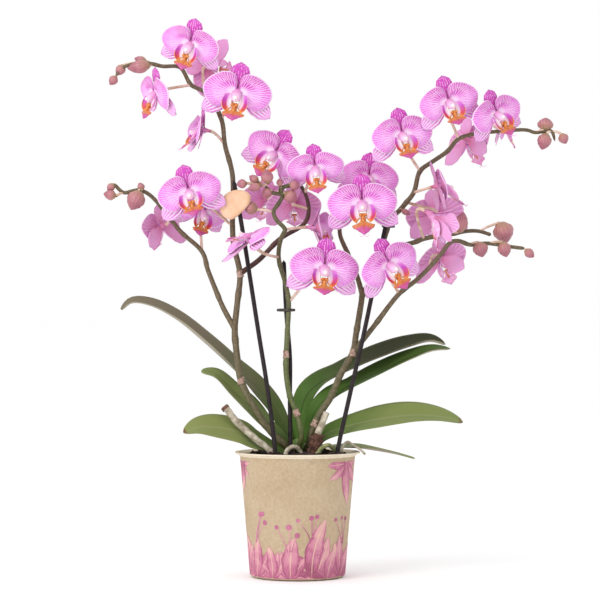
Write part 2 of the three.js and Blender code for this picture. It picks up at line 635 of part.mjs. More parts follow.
// Buds: where each sits, where its tip points to, its width, and the stem point its stalk grows from.
const buds = {
  left: [
    { seat: [-118, 0, 409], tip: [-136, -2, 406], width: 11, from: ["main", 18] },
    { seat: [-121, 4, 412], tip: [-131, 6, 415], width: 6.5, from: ["main", 19] },
    { seat: [-139, 1, 409], tip: [-145, 3, 401], width: 8, from: ["main", 20] },
    { seat: [-145, 0, 400], tip: [-150, -1, 393], width: 7.5, from: ["main", 22] },
    { seat: [-126, 0, 308], tip: [-133, -3, 293], width: 15, from: ["side", 9] },
    { seat: [-124, 2, 309], tip: [-127, 4, 315], width: 6, from: ["side", 9] },
    { seat: [-147, 0, 314], tip: [-152, 1, 308], width: 6.5, from: ["side", 11] },
    { seat: [-145, -2, 304], tip: [-155, -3, 306], width: 8.5, from: ["side", 10] },
  ],
  centre: [
    { seat: [-40, -30, 313], tip: [-48, -32, 312], width: 7.5, from: ["main", 18] },
    { seat: [-31, -27, 314], tip: [-38, -27, 319], width: 7, from: ["main", 18] },
    { seat: [-29, -32, 311], tip: [-39, -36, 308], width: 7, from: ["main", 18] },
    { seat: [-23, -30, 313], tip: [-25, -33, 324], width: 10, from: ["main", 18] },
    { seat: [-22, -25, 308], tip: [-27, -29, 302], width: 8, from: ["main", 17] },
    { seat: [-14, -24, 311], tip: [-14, -27, 317], width: 5.5, from: ["twig", 1] },
    { seat: [-6, -23, 312], tip: [2, -26, 311], width: 8, from: ["twig", 2] },
    { seat: [-9, -22, 306], tip: [-1, -24, 299], width: 11, from: ["main", 16] },
    { seat: [-32, -10, 293], tip: [-43, -6, 296], width: 11, from: ["main", 14] },
  ],
  right: [
    { seat: [198, 0, 357], tip: [199, 3, 367], width: 13, from: ["main", 25] },
    { seat: [199, -2, 354], tip: [195, -4, 341], width: 11.5, from: ["main", 26] },
    { seat: [211, 0, 354], tip: [215, 1, 346], width: 8.5, from: ["main", 26] },
    { seat: [83, -3, 293], tip: [90, -6, 289], width: 5, from: ["main", 15] },
    { seat: [162, 0, 283], tip: [168, 1, 267], width: 17, from: ["middle", 5] },
    { seat: [129, -6, 275], tip: [132, -12, 291], width: 11, from: ["middle", 3] },
    { seat: [144, -13, 267], tip: [147, -15, 255], width: 12.5, from: ["outer", 8] },
    { seat: [163, -13, 267], tip: [166, -15, 255], width: 11, from: ["outer", 9] },
    { seat: [181, -12, 261], tip: [188, -13, 255], width: 7.5, from: ["outer", 11] },
  ],
};

// A flat ring square to a direction.
function ringSquareTo(direction, centre, radius, sides) {
  const axis = direction.clone().normalize();
  const across = squareTo(axis);
  return ringAbout(centre, across, axis.clone().cross(across), radius, sides);
}

// A bud and its stalk are one body: the stalk comes out of the stem and swells into the bud.
function budBody(spike, { seat, tip, width, from }) {
  const [branch, index] = from;
  const points = branch === "main" ? spike.main : spike.branches[branch];
  const start = at(...points[index]);
  const low = at(...seat);
  const high = at(...tip);
  const axis = high.clone().sub(low);
  const stalkRadius = 0.9;
  const rings = [
    ringSquareTo(low.clone().sub(start), start, stalkRadius, 5),
    ringSquareTo(axis, low, stalkRadius, 5),
    ringSquareTo(axis, low.clone().lerp(high, 0.25), width * 0.42, 5),
    ringSquareTo(axis, low.clone().lerp(high, 0.65), width * 0.47, 5),
  ];
  return loft(rings, start, high);
}

// A thin dry sheath wraps each joint of the lower stem.
function sheath(points, index, radius) {
  const centre = at(...points[index]);
  const along = at(...points[index + 1]).sub(centre).normalize();
  return loft([
    ringSquareTo(along, centre.clone().addScaledVector(along, -4), radius + 0.9, 5),
    ringSquareTo(along, centre.clone().addScaledVector(along, 6), radius + 0.4, 5),
  ]);
}

function mainStem({ main, radii }, around = 0) {
  return stem(route(main), radii[0] + around, radii[1] + around, 5);
}

function spikeBody(name) {
  const spike = spikes[name];
  const pieces = [mainStem(spike)];
  for (const points of Object.values(spike.branches)) {
    pieces.push(stem(route(points), 1.7, 1.1, 4));
  }
  pieces.push(sheath(spike.main, 5, spike.radii[0]));
  for (const bloom of blooms.filter(({ from }) => from[0] === name)) {
    pieces.push(bloomStalk(bloom));
  }
  for (const bud of buds[name]) {
    pieces.push(budBody(spike, bud));
  }
  return join(pieces).subtract(crownBody(gap));
}

// A stem clip is a small block with one hole for the stake and one for the stem.
const clips = [
  { name: "clip_left", at: [-50, -4, 299], size: [13, 18, 4], stake: "stake_left", spike: "left" },
  { name: "clip_centre", at: [-9, -10, 213], size: [15, 16, 4], stake: "stake_centre", spike: "centre" },
  { name: "clip_right", at: [73, -3.5, 280], size: [13, 18, 4], stake: "stake_right", spike: "right" },
];

function clipBody(clip) {
  const block = new THREE.BoxGeometry(...clip.size);
  block.translate(...clip.at);
  const stake = stakes.find(({ name }) => name === clip.stake);
  const wide = 0.5;
  const holes = stakeBody(stake, stakeRadius + wide).add(mainStem(spikes[clip.spike], wide));
  return solidOf(block).subtract(holes);
}

// The bare tag is a flat, roughly egg-shaped card that hangs on the left clip.
const tag = { centre: [-49, -14, 297], thickness: 0.8 };
const tagOutline = [[-13, -1], [-7, 9], [4, 11], [12, 7], [8, -4], [-3, -12], [-10, -10]];

function tagBody() {
  const [x, y, z] = tag.centre;
  const corners = tagOutline.map(([across, up]) => at(x + across, y, z + up)).reverse();
  return blade(corners, at(x, y, z), at(0, -tag.thickness, 0));
}

function holesInBark() {
  const wide = 0.5;
  const rootHoles = roots.map(({ points, radii }) => (
    rootBody({ points, radii: radii.map((radius) => radius + wide) })));
  const stakeHoles = stakes.map((stake) => {
    const [foot, ...rest] = stake.points;
    const deeper = [[foot[0], foot[1], foot[2] - 0.5], foot, ...rest];
    return rod(smooth(route(deeper)), stakeRadius + wide, 6, stakeSteps);
  });
  return [...rootHoles, ...stakeHoles, crownBody(wide)];
}

place("paper_pot", geometryOf(paperPot()), "kraft");
place("grow_pot", geometryOf(growPot()), "liner");
place("bark_mix", geometryOf(barkMix(holesInBark())), "bark");
place("crown", geometryOf(crownBody()), "leaf");
for (const leaf of leaves) {
  place(leaf.name, geometryOf(leafBody(leaf)), "leaf");
}
for (const root of roots) {
  place(root.name, geometryOf(rootBody(root)), "root");
}
for (const stake of stakes) {
  place(stake.name, geometryOf(stakeBody(stake, stakeRadius)), "stake");
}
for (const name of Object.keys(spikes)) {
  place(`spike_${name}`, geometryOf(spikeBody(name)), "stem");
}
for (const clip of clips) {
  place(clip.name, geometryOf(clipBody(clip)), "stake");
}
place("name_tag", geometryOf(tagBody()), "tag");
for (const bloom of blooms) {
  faceBloom(place(bloom.name, geometryOf(bloomBody(bloom)), "petal"), bloom);
}

export default model;
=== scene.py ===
# %% [markdown]
# # A moth orchid in a paper pot
# The plant has three flower spikes, each tied to a dark stake, and 27 open flowers. This lesson
# dresses a plain solid model of it: every solid gives a place and a size, and each piece here grows
# the real surface in that place. The surfaces could be sculpted by hand. They are worked out from
# short tables instead, so that every size stays true and the plant comes out the same each time.
# All lengths in the tables are millimetres, as a ruler reads them.

# %% Tools and the solid frame
import json
import math
import random

import bpy
from mathutils import Euler, Matrix, Quaternion, Vector, noise

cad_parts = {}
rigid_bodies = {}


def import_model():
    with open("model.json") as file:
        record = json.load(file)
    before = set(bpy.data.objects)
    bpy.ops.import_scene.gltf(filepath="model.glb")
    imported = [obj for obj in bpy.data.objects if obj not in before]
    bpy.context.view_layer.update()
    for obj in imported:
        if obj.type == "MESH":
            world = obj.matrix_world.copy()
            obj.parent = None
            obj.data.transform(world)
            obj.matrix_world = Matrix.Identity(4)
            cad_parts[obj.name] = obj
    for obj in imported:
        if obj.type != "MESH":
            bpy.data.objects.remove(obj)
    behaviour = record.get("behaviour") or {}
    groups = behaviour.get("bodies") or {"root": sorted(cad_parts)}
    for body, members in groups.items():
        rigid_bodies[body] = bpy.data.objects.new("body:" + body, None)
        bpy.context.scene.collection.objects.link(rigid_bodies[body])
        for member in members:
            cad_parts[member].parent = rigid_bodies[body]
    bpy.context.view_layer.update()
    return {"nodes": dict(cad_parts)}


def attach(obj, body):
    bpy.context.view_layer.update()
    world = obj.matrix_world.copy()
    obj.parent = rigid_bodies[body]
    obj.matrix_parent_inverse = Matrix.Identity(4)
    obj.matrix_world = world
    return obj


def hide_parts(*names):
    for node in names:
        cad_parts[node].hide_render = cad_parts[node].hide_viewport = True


for leftover in list(bpy.data.objects):
    bpy.data.objects.remove(leftover)
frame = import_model()
MM = 0.001

# %% [markdown]
# ## The camera
# The picture was taken from far away with a long lens, level with the middle of the plant. A short
# lens close by would fill the frame too, but the pot's rim would open into a round and its sides
# would lean. From two metres away the rim stays a thin ellipse and the sides stay straight.

# %% Camera
SENSOR_WIDTH, LENS = 36, 150
CAMERA_PLACE = (0.002, -2.0, 0.221)
camera_data = bpy.data.cameras.new("photo_camera")
camera_data.sensor_width = SENSOR_WIDTH
camera_data.lens = LENS
camera_data.clip_end = 50
camera = bpy.data.objects.new("photo_camera", camera_data)
camera.location = CAMERA_PLACE
camera.rotation_euler = (math.radians(90), 0, 0)
bpy.context.scene.collection.objects.link(camera)
bpy.context.scene.camera = camera
print("field at the pot:", round(-CAMERA_PLACE[1] * SENSOR_WIDTH / LENS, 3), "m")

# %% [markdown]
# ## Colours and shading nodes
# A colour picker gives a colour as a hex code in sRGB, the screen's own scale, but light adds up on
# a linear scale, so each code is turned to linear once. A shading node could be added, set and
# linked by hand, in a line for each. One small function does all three, and a finish then reads like
# a sum.

# %% A hex code as linear light
def srgb(code):
    """The linear colour of a hex code such as "C850B8"."""
    parts = [int(code[start:start + 2], 16) / 255 for start in (0, 2, 4)]
    linear = [part / 12.92 if part <= 0.04045 else ((part + 0.055) / 1.055) ** 2.4 for part in parts]
    return (*linear, 1.0)


print("mid grey in linear light:", round(srgb("808080")[0], 3))


# %% One shading node with its values and links
def node(tree, kind, *values, sockets=None, stops=None, **settings):
    """Adds a shading node. Values go to its open inputs in order, and sockets to inputs by name."""
    made = tree.nodes.new("ShaderNode" + kind)
    for key, value in settings.items():
        setattr(made, key, value)
    open_inputs = [socket for socket in made.inputs if socket.enabled]
    pairs = list(zip(open_inputs, values))
    for name, value in (sockets or {}).items():
        pairs.append((next(socket for socket in open_inputs if socket.name == name), value))
    for socket, value in pairs:
        if isinstance(value, bpy.types.Node):
            value = next(output for output in value.outputs if output.enabled)
        if isinstance(value, bpy.types.NodeSocket):
            tree.links.new(value, socket)
        elif value is not None:
            socket.default_value = value
    if stops:
        ramp = made.color_ramp
        while len(ramp.elements) < len(stops):
            ramp.elements.new(0.5)
        for element, (position, colour) in zip(ramp.elements, stops):
            element.position = position
            element.color = colour
    return made


SMOOTH = {"interpolation_type": "SMOOTHSTEP"}
COLOURS = {"data_type": "RGBA"}
print("soft steps:", SMOOTH, "and mixing of colours:", COLOURS)

# %% [markdown]
# ## Light
# The studio is white all round, so the shadows are pale and the petals glow. A picture of a studio
# wrapped round the scene could light it too, but plain white gives the same light with no patches in
# the reflections. One large soft lamp stands high on the left and in front. It makes the left of the
# pot brighter than its right.

# %% World and lamp
LAMP_PLACE, LAMP_TARGET = (-1.2, -1.3, 1.2), (0, 0, 0.2)
LAMP_WIDTH, LAMP_WATTS = 1.1, 16
world = bpy.data.worlds.new("white_studio")
world.use_nodes = True
world.node_tree.nodes["Background"].inputs["Color"].default_value = (1.0, 1.0, 1.0, 1.0)
world.node_tree.nodes["Background"].inputs["Strength"].default_value = 1.0
bpy.context.scene.world = world
bpy.context.scene.view_settings.view_transform = "Standard"

lamp_data = bpy.data.lights.new("soft_box", "AREA")
lamp_data.shape = "SQUARE"
lamp_data.size = LAMP_WIDTH
lamp_data.energy = LAMP_WATTS
lamp = bpy.data.objects.new("soft_box", lamp_data)
lamp.location = LAMP_PLACE
lamp.rotation_euler = (Vector(LAMP_TARGET) - lamp.location).to_track_quat("-Z", "Y").to_euler()
bpy.context.scene.collection.objects.link(lamp)
print("lamp:", LAMP_WATTS, "W,", round(lamp.location.length, 2), "m from the pot's foot")

# %% [markdown]
# ## How a piece is collected
# Plants are made of sheets and tubes. Blender's curve and surface objects could draw them, but the
# shading here also has to know where a point lies on its petal or stem. Both are grids of points, so
# one small collector takes rows of points, joins them into faces, and remembers for each corner its
# place on the piece: across it in the first number, and along it in the second.

# %% A collector for grids of points
WELD_DISTANCE = 0.01 * MM


class Form:
    def __init__(self):
        self.points, self.faces, self.corners, self.finishes = [], [], [], []

    def grid(self, rows, finish, around=False, pattern=None):
        """Joins rows of points. Faces look against the turn from a row's direction to the next row."""
        first = len(self.points)
        count = len(rows[0])
        self.points += [point for row in rows for point in row]
        spread = count if around else count - 1
        pattern = pattern or (lambda i, j: (j / spread, i / (len(rows) - 1)))
        for i in range(len(rows) - 1):
            for j in range(spread):
                places = [(i, j), (i, j + 1), (i + 1, j + 1), (i + 1, j)]
                self.faces.append([first + a * count + b % count for a, b in places])
                self.corners.append([pattern(a, b) for a, b in places])
                self.finishes.append(finish)

    def fan(self, ring, tip, finish, place):
        """Closes a ring of points with faces that meet at one tip."""
        first = len(self.points)
        self.points += [*ring, tip]
        for j in range(len(ring)):
            self.faces.append([first + j, first + (j + 1) % len(ring), first + len(ring)])
            self.corners.append([place, place, place])
            self.finishes.append(finish)

    def place(self, name, materials, slot, nodes):
        """Makes the mesh and hides the solids that it stands in for."""
        mesh = bpy.data.meshes.new(name)
        mesh.from_pydata([point * MM for point in self.points], [], self.faces)
        for material in materials:
            mesh.materials.append(material)
        mesh.polygons.foreach_set("material_index", self.finishes)
        mesh.polygons.foreach_set("use_smooth", [True] * len(self.faces))
        layer = mesh.uv_layers.new(name="Place")
        places = [number for face in self.corners for pair in face for number in pair]
        layer.data.foreach_set("uv", places)
        mesh.validate()
        piece = bpy.data.objects.new(name, mesh)
        bpy.context.scene.collection.objects.link(piece)
        weld = piece.modifiers.new("weld", "WELD")
        weld.merge_threshold = WELD_DISTANCE
        if nodes:
            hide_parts(*nodes)
        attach(piece, "root")
        return piece


print("points closer than", WELD_DISTANCE, "m are welded")


# %% A thin skin with a front, a back and an edge
SMALLEST_NORMAL = 1e-6


def sheet(form, rows, thickness, front, back, pattern=None):
    """A thin skin: the front grid, a back grid behind it, and a wall round the edge."""
    high, wide = len(rows), len(rows[0])
    behind = []
    for i in range(high):
        behind.append([])
        for j in range(wide):
            across = rows[i][min(j + 1, wide - 1)] - rows[i][max(j - 1, 0)]
            along = rows[min(i + 1, high - 1)][j] - rows[max(i - 1, 0)][j]
            normal = across.cross(along)
            if normal.length > SMALLEST_NORMAL:
                normal.normalize()
            behind[-1].append(rows[i][j] - normal * thickness)
    pattern = pattern or (lambda i, j: (j / (wide - 1), i / (high - 1)))
    form.grid(rows, front, pattern=pattern)
    form.grid([row[::-1] for row in behind], back, pattern=lambda i, j: pattern(i, wide - 1 - j))
    edges = [[(0, j) for j in range(wide)], [(high - 1, j) for j in reversed(range(wide))],
             [(i, 0) for i in reversed(range(high))], [(i, wide - 1) for i in range(high)]]
    for edge in edges:
        strip = [[behind[i][j] for i, j in edge], [rows[i][j] for i, j in edge]]
        form.grid(strip, back, pattern=lambda side, step, edge=edge: pattern(*edge[step]))


trial = Form()
sheet(trial, [[Vector((x, 0, z)) for x in range(3)] for z in range(3)], 0.5, 0, 0)
print("faces of a skin on a grid of 3 by 3 points:", len(trial.faces))

# %% [markdown]
# ## Paths and tubes
# Stems, roots and midribs run along curves that are given by a few points each. A Bezier curve
# object would need two handles at every point. The curve below needs none. It goes through the
# points and makes no loop between uneven ones, because each stretch takes the square root of its
# length as its share of time. Even points on it give a tube even rings.

# %% Smooth paths
FINE_STEPS, SHORTEST = 12, 1e-6


def smooth_path(rows, steps):
    """Evenly spaced points on a smooth curve through the rows."""
    knots = [Vector(row) for row in rows]
    knots = [knots[0] * 2 - knots[1], *knots, knots[-1] * 2 - knots[-2]]
    fine = []
    for a, b, c, d in zip(knots, knots[1:], knots[2:], knots[3:]):
        ta = 0.0
        tb = ta + max((b - a).length, SHORTEST) ** 0.5
        tc = tb + max((c - b).length, SHORTEST) ** 0.5
        td = tc + max((d - c).length, SHORTEST) ** 0.5
        for step in range(FINE_STEPS):
            t = tb + (tc - tb) * step / FINE_STEPS
            ab = a.lerp(b, (t - ta) / (tb - ta))
            bc = b.lerp(c, (t - tb) / (tc - tb))
            cd = c.lerp(d, (t - tc) / (td - tc))
            abc = ab.lerp(bc, (t - ta) / (tc - ta))
            bcd = bc.lerp(cd, (t - tb) / (td - tb))
            fine.append(abc.lerp(bcd, (t - tb) / (tc - tb)))
    fine.append(knots[-2].copy())
    reach = [0.0]
    for before, after in zip(fine, fine[1:]):
        reach.append(reach[-1] + (after - before).length)
    even, place = [], 0
    for step in range(steps + 1):
        wanted = reach[-1] * step / steps
        while place < len(reach) - 2 and reach[place + 1] < wanted:
            place += 1
        length = reach[place + 1] - reach[place]
        share = (wanted - reach[place]) / length if length else 0.0
        even.append(fine[place].lerp(fine[place + 1], min(1.0, share)))
    return even


print("points on a path of 20 steps:", len(smooth_path([(0, 0, 0), (5, 0, 5), (0, 0, 10)], 20)))


# %% Tubes
PATTERN_LENGTH = 20  # millimetres of a tube for each whole number of its place along


def square_to(direction):
    """One direction at a right angle to another."""
    helper = Vector((0, 1, 0)) if abs(direction.y) < 0.8 else Vector((1, 0, 0))
    return (helper - direction * helper.dot(direction)).normalized()


def tube(form, path, radius, sides, finish, ends=True, pattern=None):
    """A round skin along a path. Radius says how thick it is at a share of the path and a turn."""
    last = len(path) - 1
    across, before, rings = None, None, []
    for i, centre in enumerate(path):
        direction = (path[min(last, i + 1)] - path[max(0, i - 1)]).normalized()
        if before is None:
            across = square_to(direction)
        else:
            across = before.rotation_difference(direction) @ across
        before = direction
        up = direction.cross(across)
        ring = []
        for j in range(sides):
            turn = 2 * math.pi * j / sides
            ring.append(centre + (across * math.cos(turn) + up * math.sin(turn)) * radius(i / last, turn))
        rings.append(ring)
    length = sum((b - a).length for a, b in zip(path, path[1:]))

    def even(i, j):
        return (j / sides, i / last * length / PATTERN_LENGTH)
    form.grid(rings, finish, around=True, pattern=pattern or even)
    if ends:
        form.fan(rings[0][::-1], path[0], finish, (0.5, 0.0))
        form.fan(rings[-1], path[-1], finish, (0.5, length / PATTERN_LENGTH))
    return rings


trial = Form()
tube(trial, smooth_path([(0, 0, 0), (5, 0, 5), (0, 0, 10)], 20), lambda s, turn: 1.0, 12, 0)
print("faces of a tube of 20 steps and 12 sides:", len(trial.faces))


# %% Soft steps and round ends
def rounded(share, ends):
    """1 along a rod, falling to 0 on a round curve within a share of each end."""
    edge = min(share, 1 - share)
    return math.sqrt(max(0.0, 1 - (1 - min(1.0, edge / ends)) ** 2)) if ends else 1.0


def smoothstep(value, low, high):
    share = min(1.0, max(0.0, (value - low) / (high - low)))
    return share * share * (3 - 2 * share)


def between(rows, share):
    """Reads a table of (place, value) rows with smooth steps between them."""
    for (low, before), (high, after) in zip(rows, rows[1:]):
        if share <= high:
            return before + (after - before) * smoothstep(share, low, high)
    return rows[-1][1]


print("a quarter of the way up a soft step:", smoothstep(0.25, 0, 1))

# %% [markdown]
# ## Finishes
# Petal, bark, paper and plastic differ in a few values: their colour, how rough they are and how
# much light goes under their skin. Each could be a mix of shaders of its own. One physically based
# shader holds all these values, so every finish starts from it. Its grain is bump, a small height
# pattern that only bends the light, because real grain would take millions of faces.

# %% A finish from its sockets
def finish(name, colour, roughness=0.5, bump=None, strength=0.3, depth=0.4, **sockets):
    """Makes a material. Colour and bump may be functions that build nodes in the material's tree."""
    material = bpy.data.materials.new(name)
    material.use_nodes = True
    tree = material.node_tree
    tree.nodes.clear()
    shader = node(tree, "BsdfPrincipled")
    tree.links.new(shader.outputs[0], node(tree, "OutputMaterial").inputs[0])
    values = {"Base Color": colour, "Roughness": roughness, **sockets}
    if bump:
        height = bump(tree)
        values["Normal"] = node(tree, "Bump", sockets={
            "Strength": strength, "Distance": depth * MM, "Height": height})
    for name_of, value in values.items():
        name_of = name_of.replace("_", " ")
        if callable(value):
            value = value(tree)
        if isinstance(value, bpy.types.Node):
            value = next(output for output in value.outputs if output.enabled)
        if isinstance(value, bpy.types.NodeSocket):
            tree.links.new(value, shader.inputs[name_of])
        else:
            shader.inputs[name_of].default_value = value
    return material


print("depth of a grain of 0.4 mm in metres:", 0.4 * MM)


# %% Patterns on a piece and in space
def place_on(tree):
    """Where a corner lies on its piece: across and along, as two plain numbers."""
    parts = node(tree, "SeparateXYZ", node(tree, "UVMap", uv_map="Place"))
    return parts.outputs["X"], parts.outputs["Y"]


def per_metre(size):
    """How many blotches or cells of a size in millimetres lie side by side in a metre."""
    return round(1000 / size)


def solid_noise(tree, size, detail=3.0, roughness=0.55):
    """Soft blotches in space, with their size in millimetres."""
    space = node(tree, "TexCoord").outputs["Object"]
    return node(tree, "TexNoise", sockets={
        "Vector": space, "Scale": per_metre(size), "Detail": detail, "Roughness": roughness}).outputs[0]


def speckled(dark, light, size, low=0.35, high=0.65, detail=4.0):
    """A colour that wanders between two tones in soft blotches."""
    def build(tree):
        return node(tree, "ValToRGB", solid_noise(tree, size, detail),
                    stops=[(low, srgb(dark)), (high, srgb(light))])
    return build


print("blotches of 2.5 mm in a metre:", per_metre(2.5))

# %% [markdown]
# ### Petals
# A moth orchid's petal is thin, moist and faintly velvety. Its colour is laid in as a pattern of
# veins: pale lines fan out from a near-white centre, split twice and break up into a fine net towards
# the edge, which is a thin pale line itself. It could be painted on a flat map. A formula stays sharp
# from close by and takes a number from each flower, so that no two are alike. The lines are drawn
# about 2 mm apart at the edge, coarser than real ones, because finer lines would vanish in the
# picture.

# %% How many veins
PETAL_MARGIN, UPPER_SEPAL_WIDTH, SIDE_SEPAL_WIDTH = 82, 15.8, 16.8


def lines_across(width, gap):
    """How many lines fit on a width, from the gap between them in millimetres."""
    return round(width / gap)


# A line that splits once is 2 lines at the margin, and one that splits twice is 4.
PETAL_VEINS = lines_across(PETAL_MARGIN / 4, 2.3)
BACK_VEINS = lines_across(PETAL_MARGIN / 2, 5.1)
UPPER_SEPAL_VEINS = lines_across(UPPER_SEPAL_WIDTH, 2.3)
SIDE_SEPAL_VEINS = lines_across(SIDE_SEPAL_WIDTH, 2.8)
print("veins at the foot:", PETAL_VEINS, BACK_VEINS, UPPER_SEPAL_VEINS, SIDE_SEPAL_VEINS)

# %% The vein pattern
# A line fades in over this share of the length, and its edges are this soft beside its half width.
FADE_IN, SOFTNESS = 0.16, 0.35
# The net's cells are about 2 mm each way at the margin.
NET_CELLS_TO_A_VEIN, NET_CELLS_ALONG = 5.0, 13.0


def vein_lines(tree, count, thickness, splits=(0.18, 0.5), wander=0.03, net=0.0):
    """Pale lines along a tepal. Each split doubles them, from that share of its length outwards."""
    across, along = place_on(tree)
    seed = node(tree, "ObjectInfo").outputs["Random"]
    stretched = node(tree, "CombineXYZ", node(tree, "Math", across, 9.0, operation="MULTIPLY"),
                     node(tree, "Math", along, 4.0, operation="MULTIPLY"),
                     node(tree, "Math", seed, 40.0, operation="MULTIPLY"))
    drift = node(tree, "TexNoise", sockets={"Vector": stretched, "Scale": 1.6, "Detail": 2.0}).outputs[0]
    shifted = node(tree, "Math", drift, wander, across, operation="MULTIPLY_ADD")
    total = None
    for doubling, start in zip((1, 2, 4), (-0.3, *splits)):
        wave = node(tree, "Math", shifted, float(count * doubling), operation="MULTIPLY")
        wave = node(tree, "Math", wave, 0.5, operation="PINGPONG")
        half = thickness * doubling / 2 ** len(splits)
        line = node(tree, "MapRange", wave, half * (1 + SOFTNESS), half * (1 - SOFTNESS),
                    0.0, 1.0, **SMOOTH)
        shown = node(tree, "MapRange", along, start, start + FADE_IN, 0.0, 1.0, **SMOOTH)
        part = node(tree, "Math", line, shown, operation="MULTIPLY")
        total = part if total is None else node(tree, "Math", total, part, operation="MAXIMUM")
    if net:
        cells = node(tree, "CombineXYZ",
                     node(tree, "Math", shifted, count * NET_CELLS_TO_A_VEIN, operation="MULTIPLY"),
                     node(tree, "Math", along, NET_CELLS_ALONG, operation="MULTIPLY"), seed)
        edges = node(tree, "TexVoronoi", sockets={"Vector": cells, "Scale": 1.0, "Randomness": 0.8},
                     feature="DISTANCE_TO_EDGE").outputs["Distance"]
        threads = node(tree, "MapRange", edges, 0.16, 0.03, 0.0, net, **SMOOTH)
        outer = node(tree, "MapRange", along, 0.4, 0.75, 0.0, 1.0, **SMOOTH)
        total = node(tree, "Math", total, node(tree, "Math", threads, outer, operation="MULTIPLY"),
                     operation="MAXIMUM")
    return total, across, along


def off_middle(tree, across, middle=0.5):
    """How far a place lies off the middle line."""
    beside = node(tree, "Math", across, middle, operation="SUBTRACT")
    return node(tree, "Math", beside, operation="ABSOLUTE")


print("net cells across a petal's margin:", PETAL_VEINS * NET_CELLS_TO_A_VEIN)


# %% Colours of petals
def petal_colour(tree):
    """Violet pink, deeper towards the upper edge, with a white heart and a pale margin."""
    veins, across, along = vein_lines(tree, PETAL_VEINS, 0.17, net=0.5)
    blotch = solid_noise(tree, 6.67, 3.0)
    high = node(tree, "MapRange", across, 0.66, 0.2, 0.0, 0.5, **SMOOTH)
    deepness = node(tree, "Math", blotch, 0.7,
                    node(tree, "Math", along, 0.25, high, operation="MULTIPLY_ADD"),
                    operation="MULTIPLY_ADD")
    ground = node(tree, "ValToRGB", deepness, stops=[
        (0.35, srgb("E57CDE")), (0.7, srgb("D960CE")), (1.05, srgb("BE40AC"))])
    strength = node(tree, "MapRange", along, 0.35, 1.0, 0.8, 0.42, **SMOOTH)
    mask = node(tree, "Math", veins, strength, operation="MULTIPLY")
    heart = node(tree, "MapRange", along, 0.1, 0.42, 0.95, 0.0, **SMOOTH)
    flare = node(tree, "MapRange", off_middle(tree, across, 0.62), 0.02, 0.3, 0.42, 0.0,
                 **SMOOTH)
    short = node(tree, "MapRange", along, 0.3, 0.8, 1.0, 0.0, **SMOOTH)
    flare = node(tree, "Math", flare, short, operation="MULTIPLY")
    light = node(tree, "Math", heart, flare, operation="MAXIMUM")
    mask = node(tree, "Math", mask, light, operation="ADD", use_clamp=True)
    rim = node(tree, "MapRange", along, 0.945, 0.98, 0.0, 0.85, **SMOOTH)
    mask = node(tree, "Math", mask, rim, operation="MAXIMUM", use_clamp=True)
    return node(tree, "Mix", mask, ground, srgb("FCEAFB"), **COLOURS)


print("petal colours run from", srgb("E57CDE")[:3], "to", srgb("BE40AC")[:3])


# %% Colours of sepals
def upper_sepal_colour(tree):
    """Magenta with rows of pale flecks."""
    veins, across, along = vein_lines(tree, UPPER_SEPAL_VEINS, 0.17, splits=(), wander=0.05)
    flecks = node(tree, "MapRange", solid_noise(tree, 1.613, 2.0), 0.44, 0.56, 0.0, 0.6)
    deepness = node(tree, "Math", solid_noise(tree, 7.7, 3.0), 0.4, along, operation="MULTIPLY_ADD")
    ground = node(tree, "ValToRGB", deepness, stops=[
        (0.1, srgb("B02C8E")), (0.5, srgb("BE3CAA")), (1.1, srgb("C446B2"))])
    mask = node(tree, "Math", veins, flecks, operation="MULTIPLY")
    side = node(tree, "MapRange", off_middle(tree, across), 0.46, 0.49, 0.0, 0.5, **SMOOTH)
    mask = node(tree, "Math", mask, side, operation="MAXIMUM")
    return node(tree, "Mix", mask, ground, srgb("F6CDF2"), **COLOURS)


def side_sepal_colour(tree):
    """Nearly white at the foot with magenta stripes, and pinker and netted towards the point."""
    veins, across, along = vein_lines(tree, SIDE_SEPAL_VEINS, 0.23, splits=(), wander=0.04, net=0.6)
    tip = node(tree, "Math", solid_noise(tree, 8.33, 3.0), 0.35, along, operation="MULTIPLY_ADD")
    ground = node(tree, "ValToRGB", tip, stops=[
        (0.25, srgb("B03090")), (0.7, srgb("C850B8")), (1.15, srgb("D66CCE"))])
    strength = node(tree, "MapRange", along, 0.35, 0.95, 0.95, 0.6, **SMOOTH)
    side = node(tree, "MapRange", off_middle(tree, across), 0.45, 0.485, 0.0, 0.8, **SMOOTH)
    mask = node(tree, "Math", veins, strength, operation="MULTIPLY")
    mask = node(tree, "Math", mask, side, operation="MAXIMUM")
    return node(tree, "Mix", mask, ground, srgb("FFF4FE"), **COLOURS)


print("blotches in a metre:", per_metre(1.613), "flecks,", per_metre(7.7), "clouds")


# %% The back of a petal and its relief
def tepal_back_colour(tree):
    """Dusty pink with faint lines, and a red flush round the foot."""
    veins, across, along = vein_lines(tree, BACK_VEINS, 0.15, splits=(0.3,))
    deepness = node(tree, "Math", solid_noise(tree, 11.1, 3.0), 0.6, along, operation="MULTIPLY_ADD")
    ground = node(tree, "ValToRGB", deepness, stops=[
        (0.3, srgb("C4608A")), (0.6, srgb("D27EB4")), (1.3, srgb("DA94CC"))])
    mask = node(tree, "Math", veins, 0.45, operation="MULTIPLY")
    rim = node(tree, "MapRange", along, 0.95, 0.985, 0.0, 0.45, **SMOOTH)
    mask = node(tree, "Math", mask, rim, operation="MAXIMUM")
    return node(tree, "Mix", mask, ground, srgb("F6D4EA"), **COLOURS)


def petal_relief(tree):
    """Veins stand a few hundredths of a millimetre proud, between papery cells of 1.1 mm."""
    veins, _, _ = vein_lines(tree, PETAL_VEINS, 0.17)
    return node(tree, "Math", veins, 0.6, solid_noise(tree, 1.111, 2.0), operation="MULTIPLY_ADD")


print("cells of the relief in a metre:", per_metre(1.111))

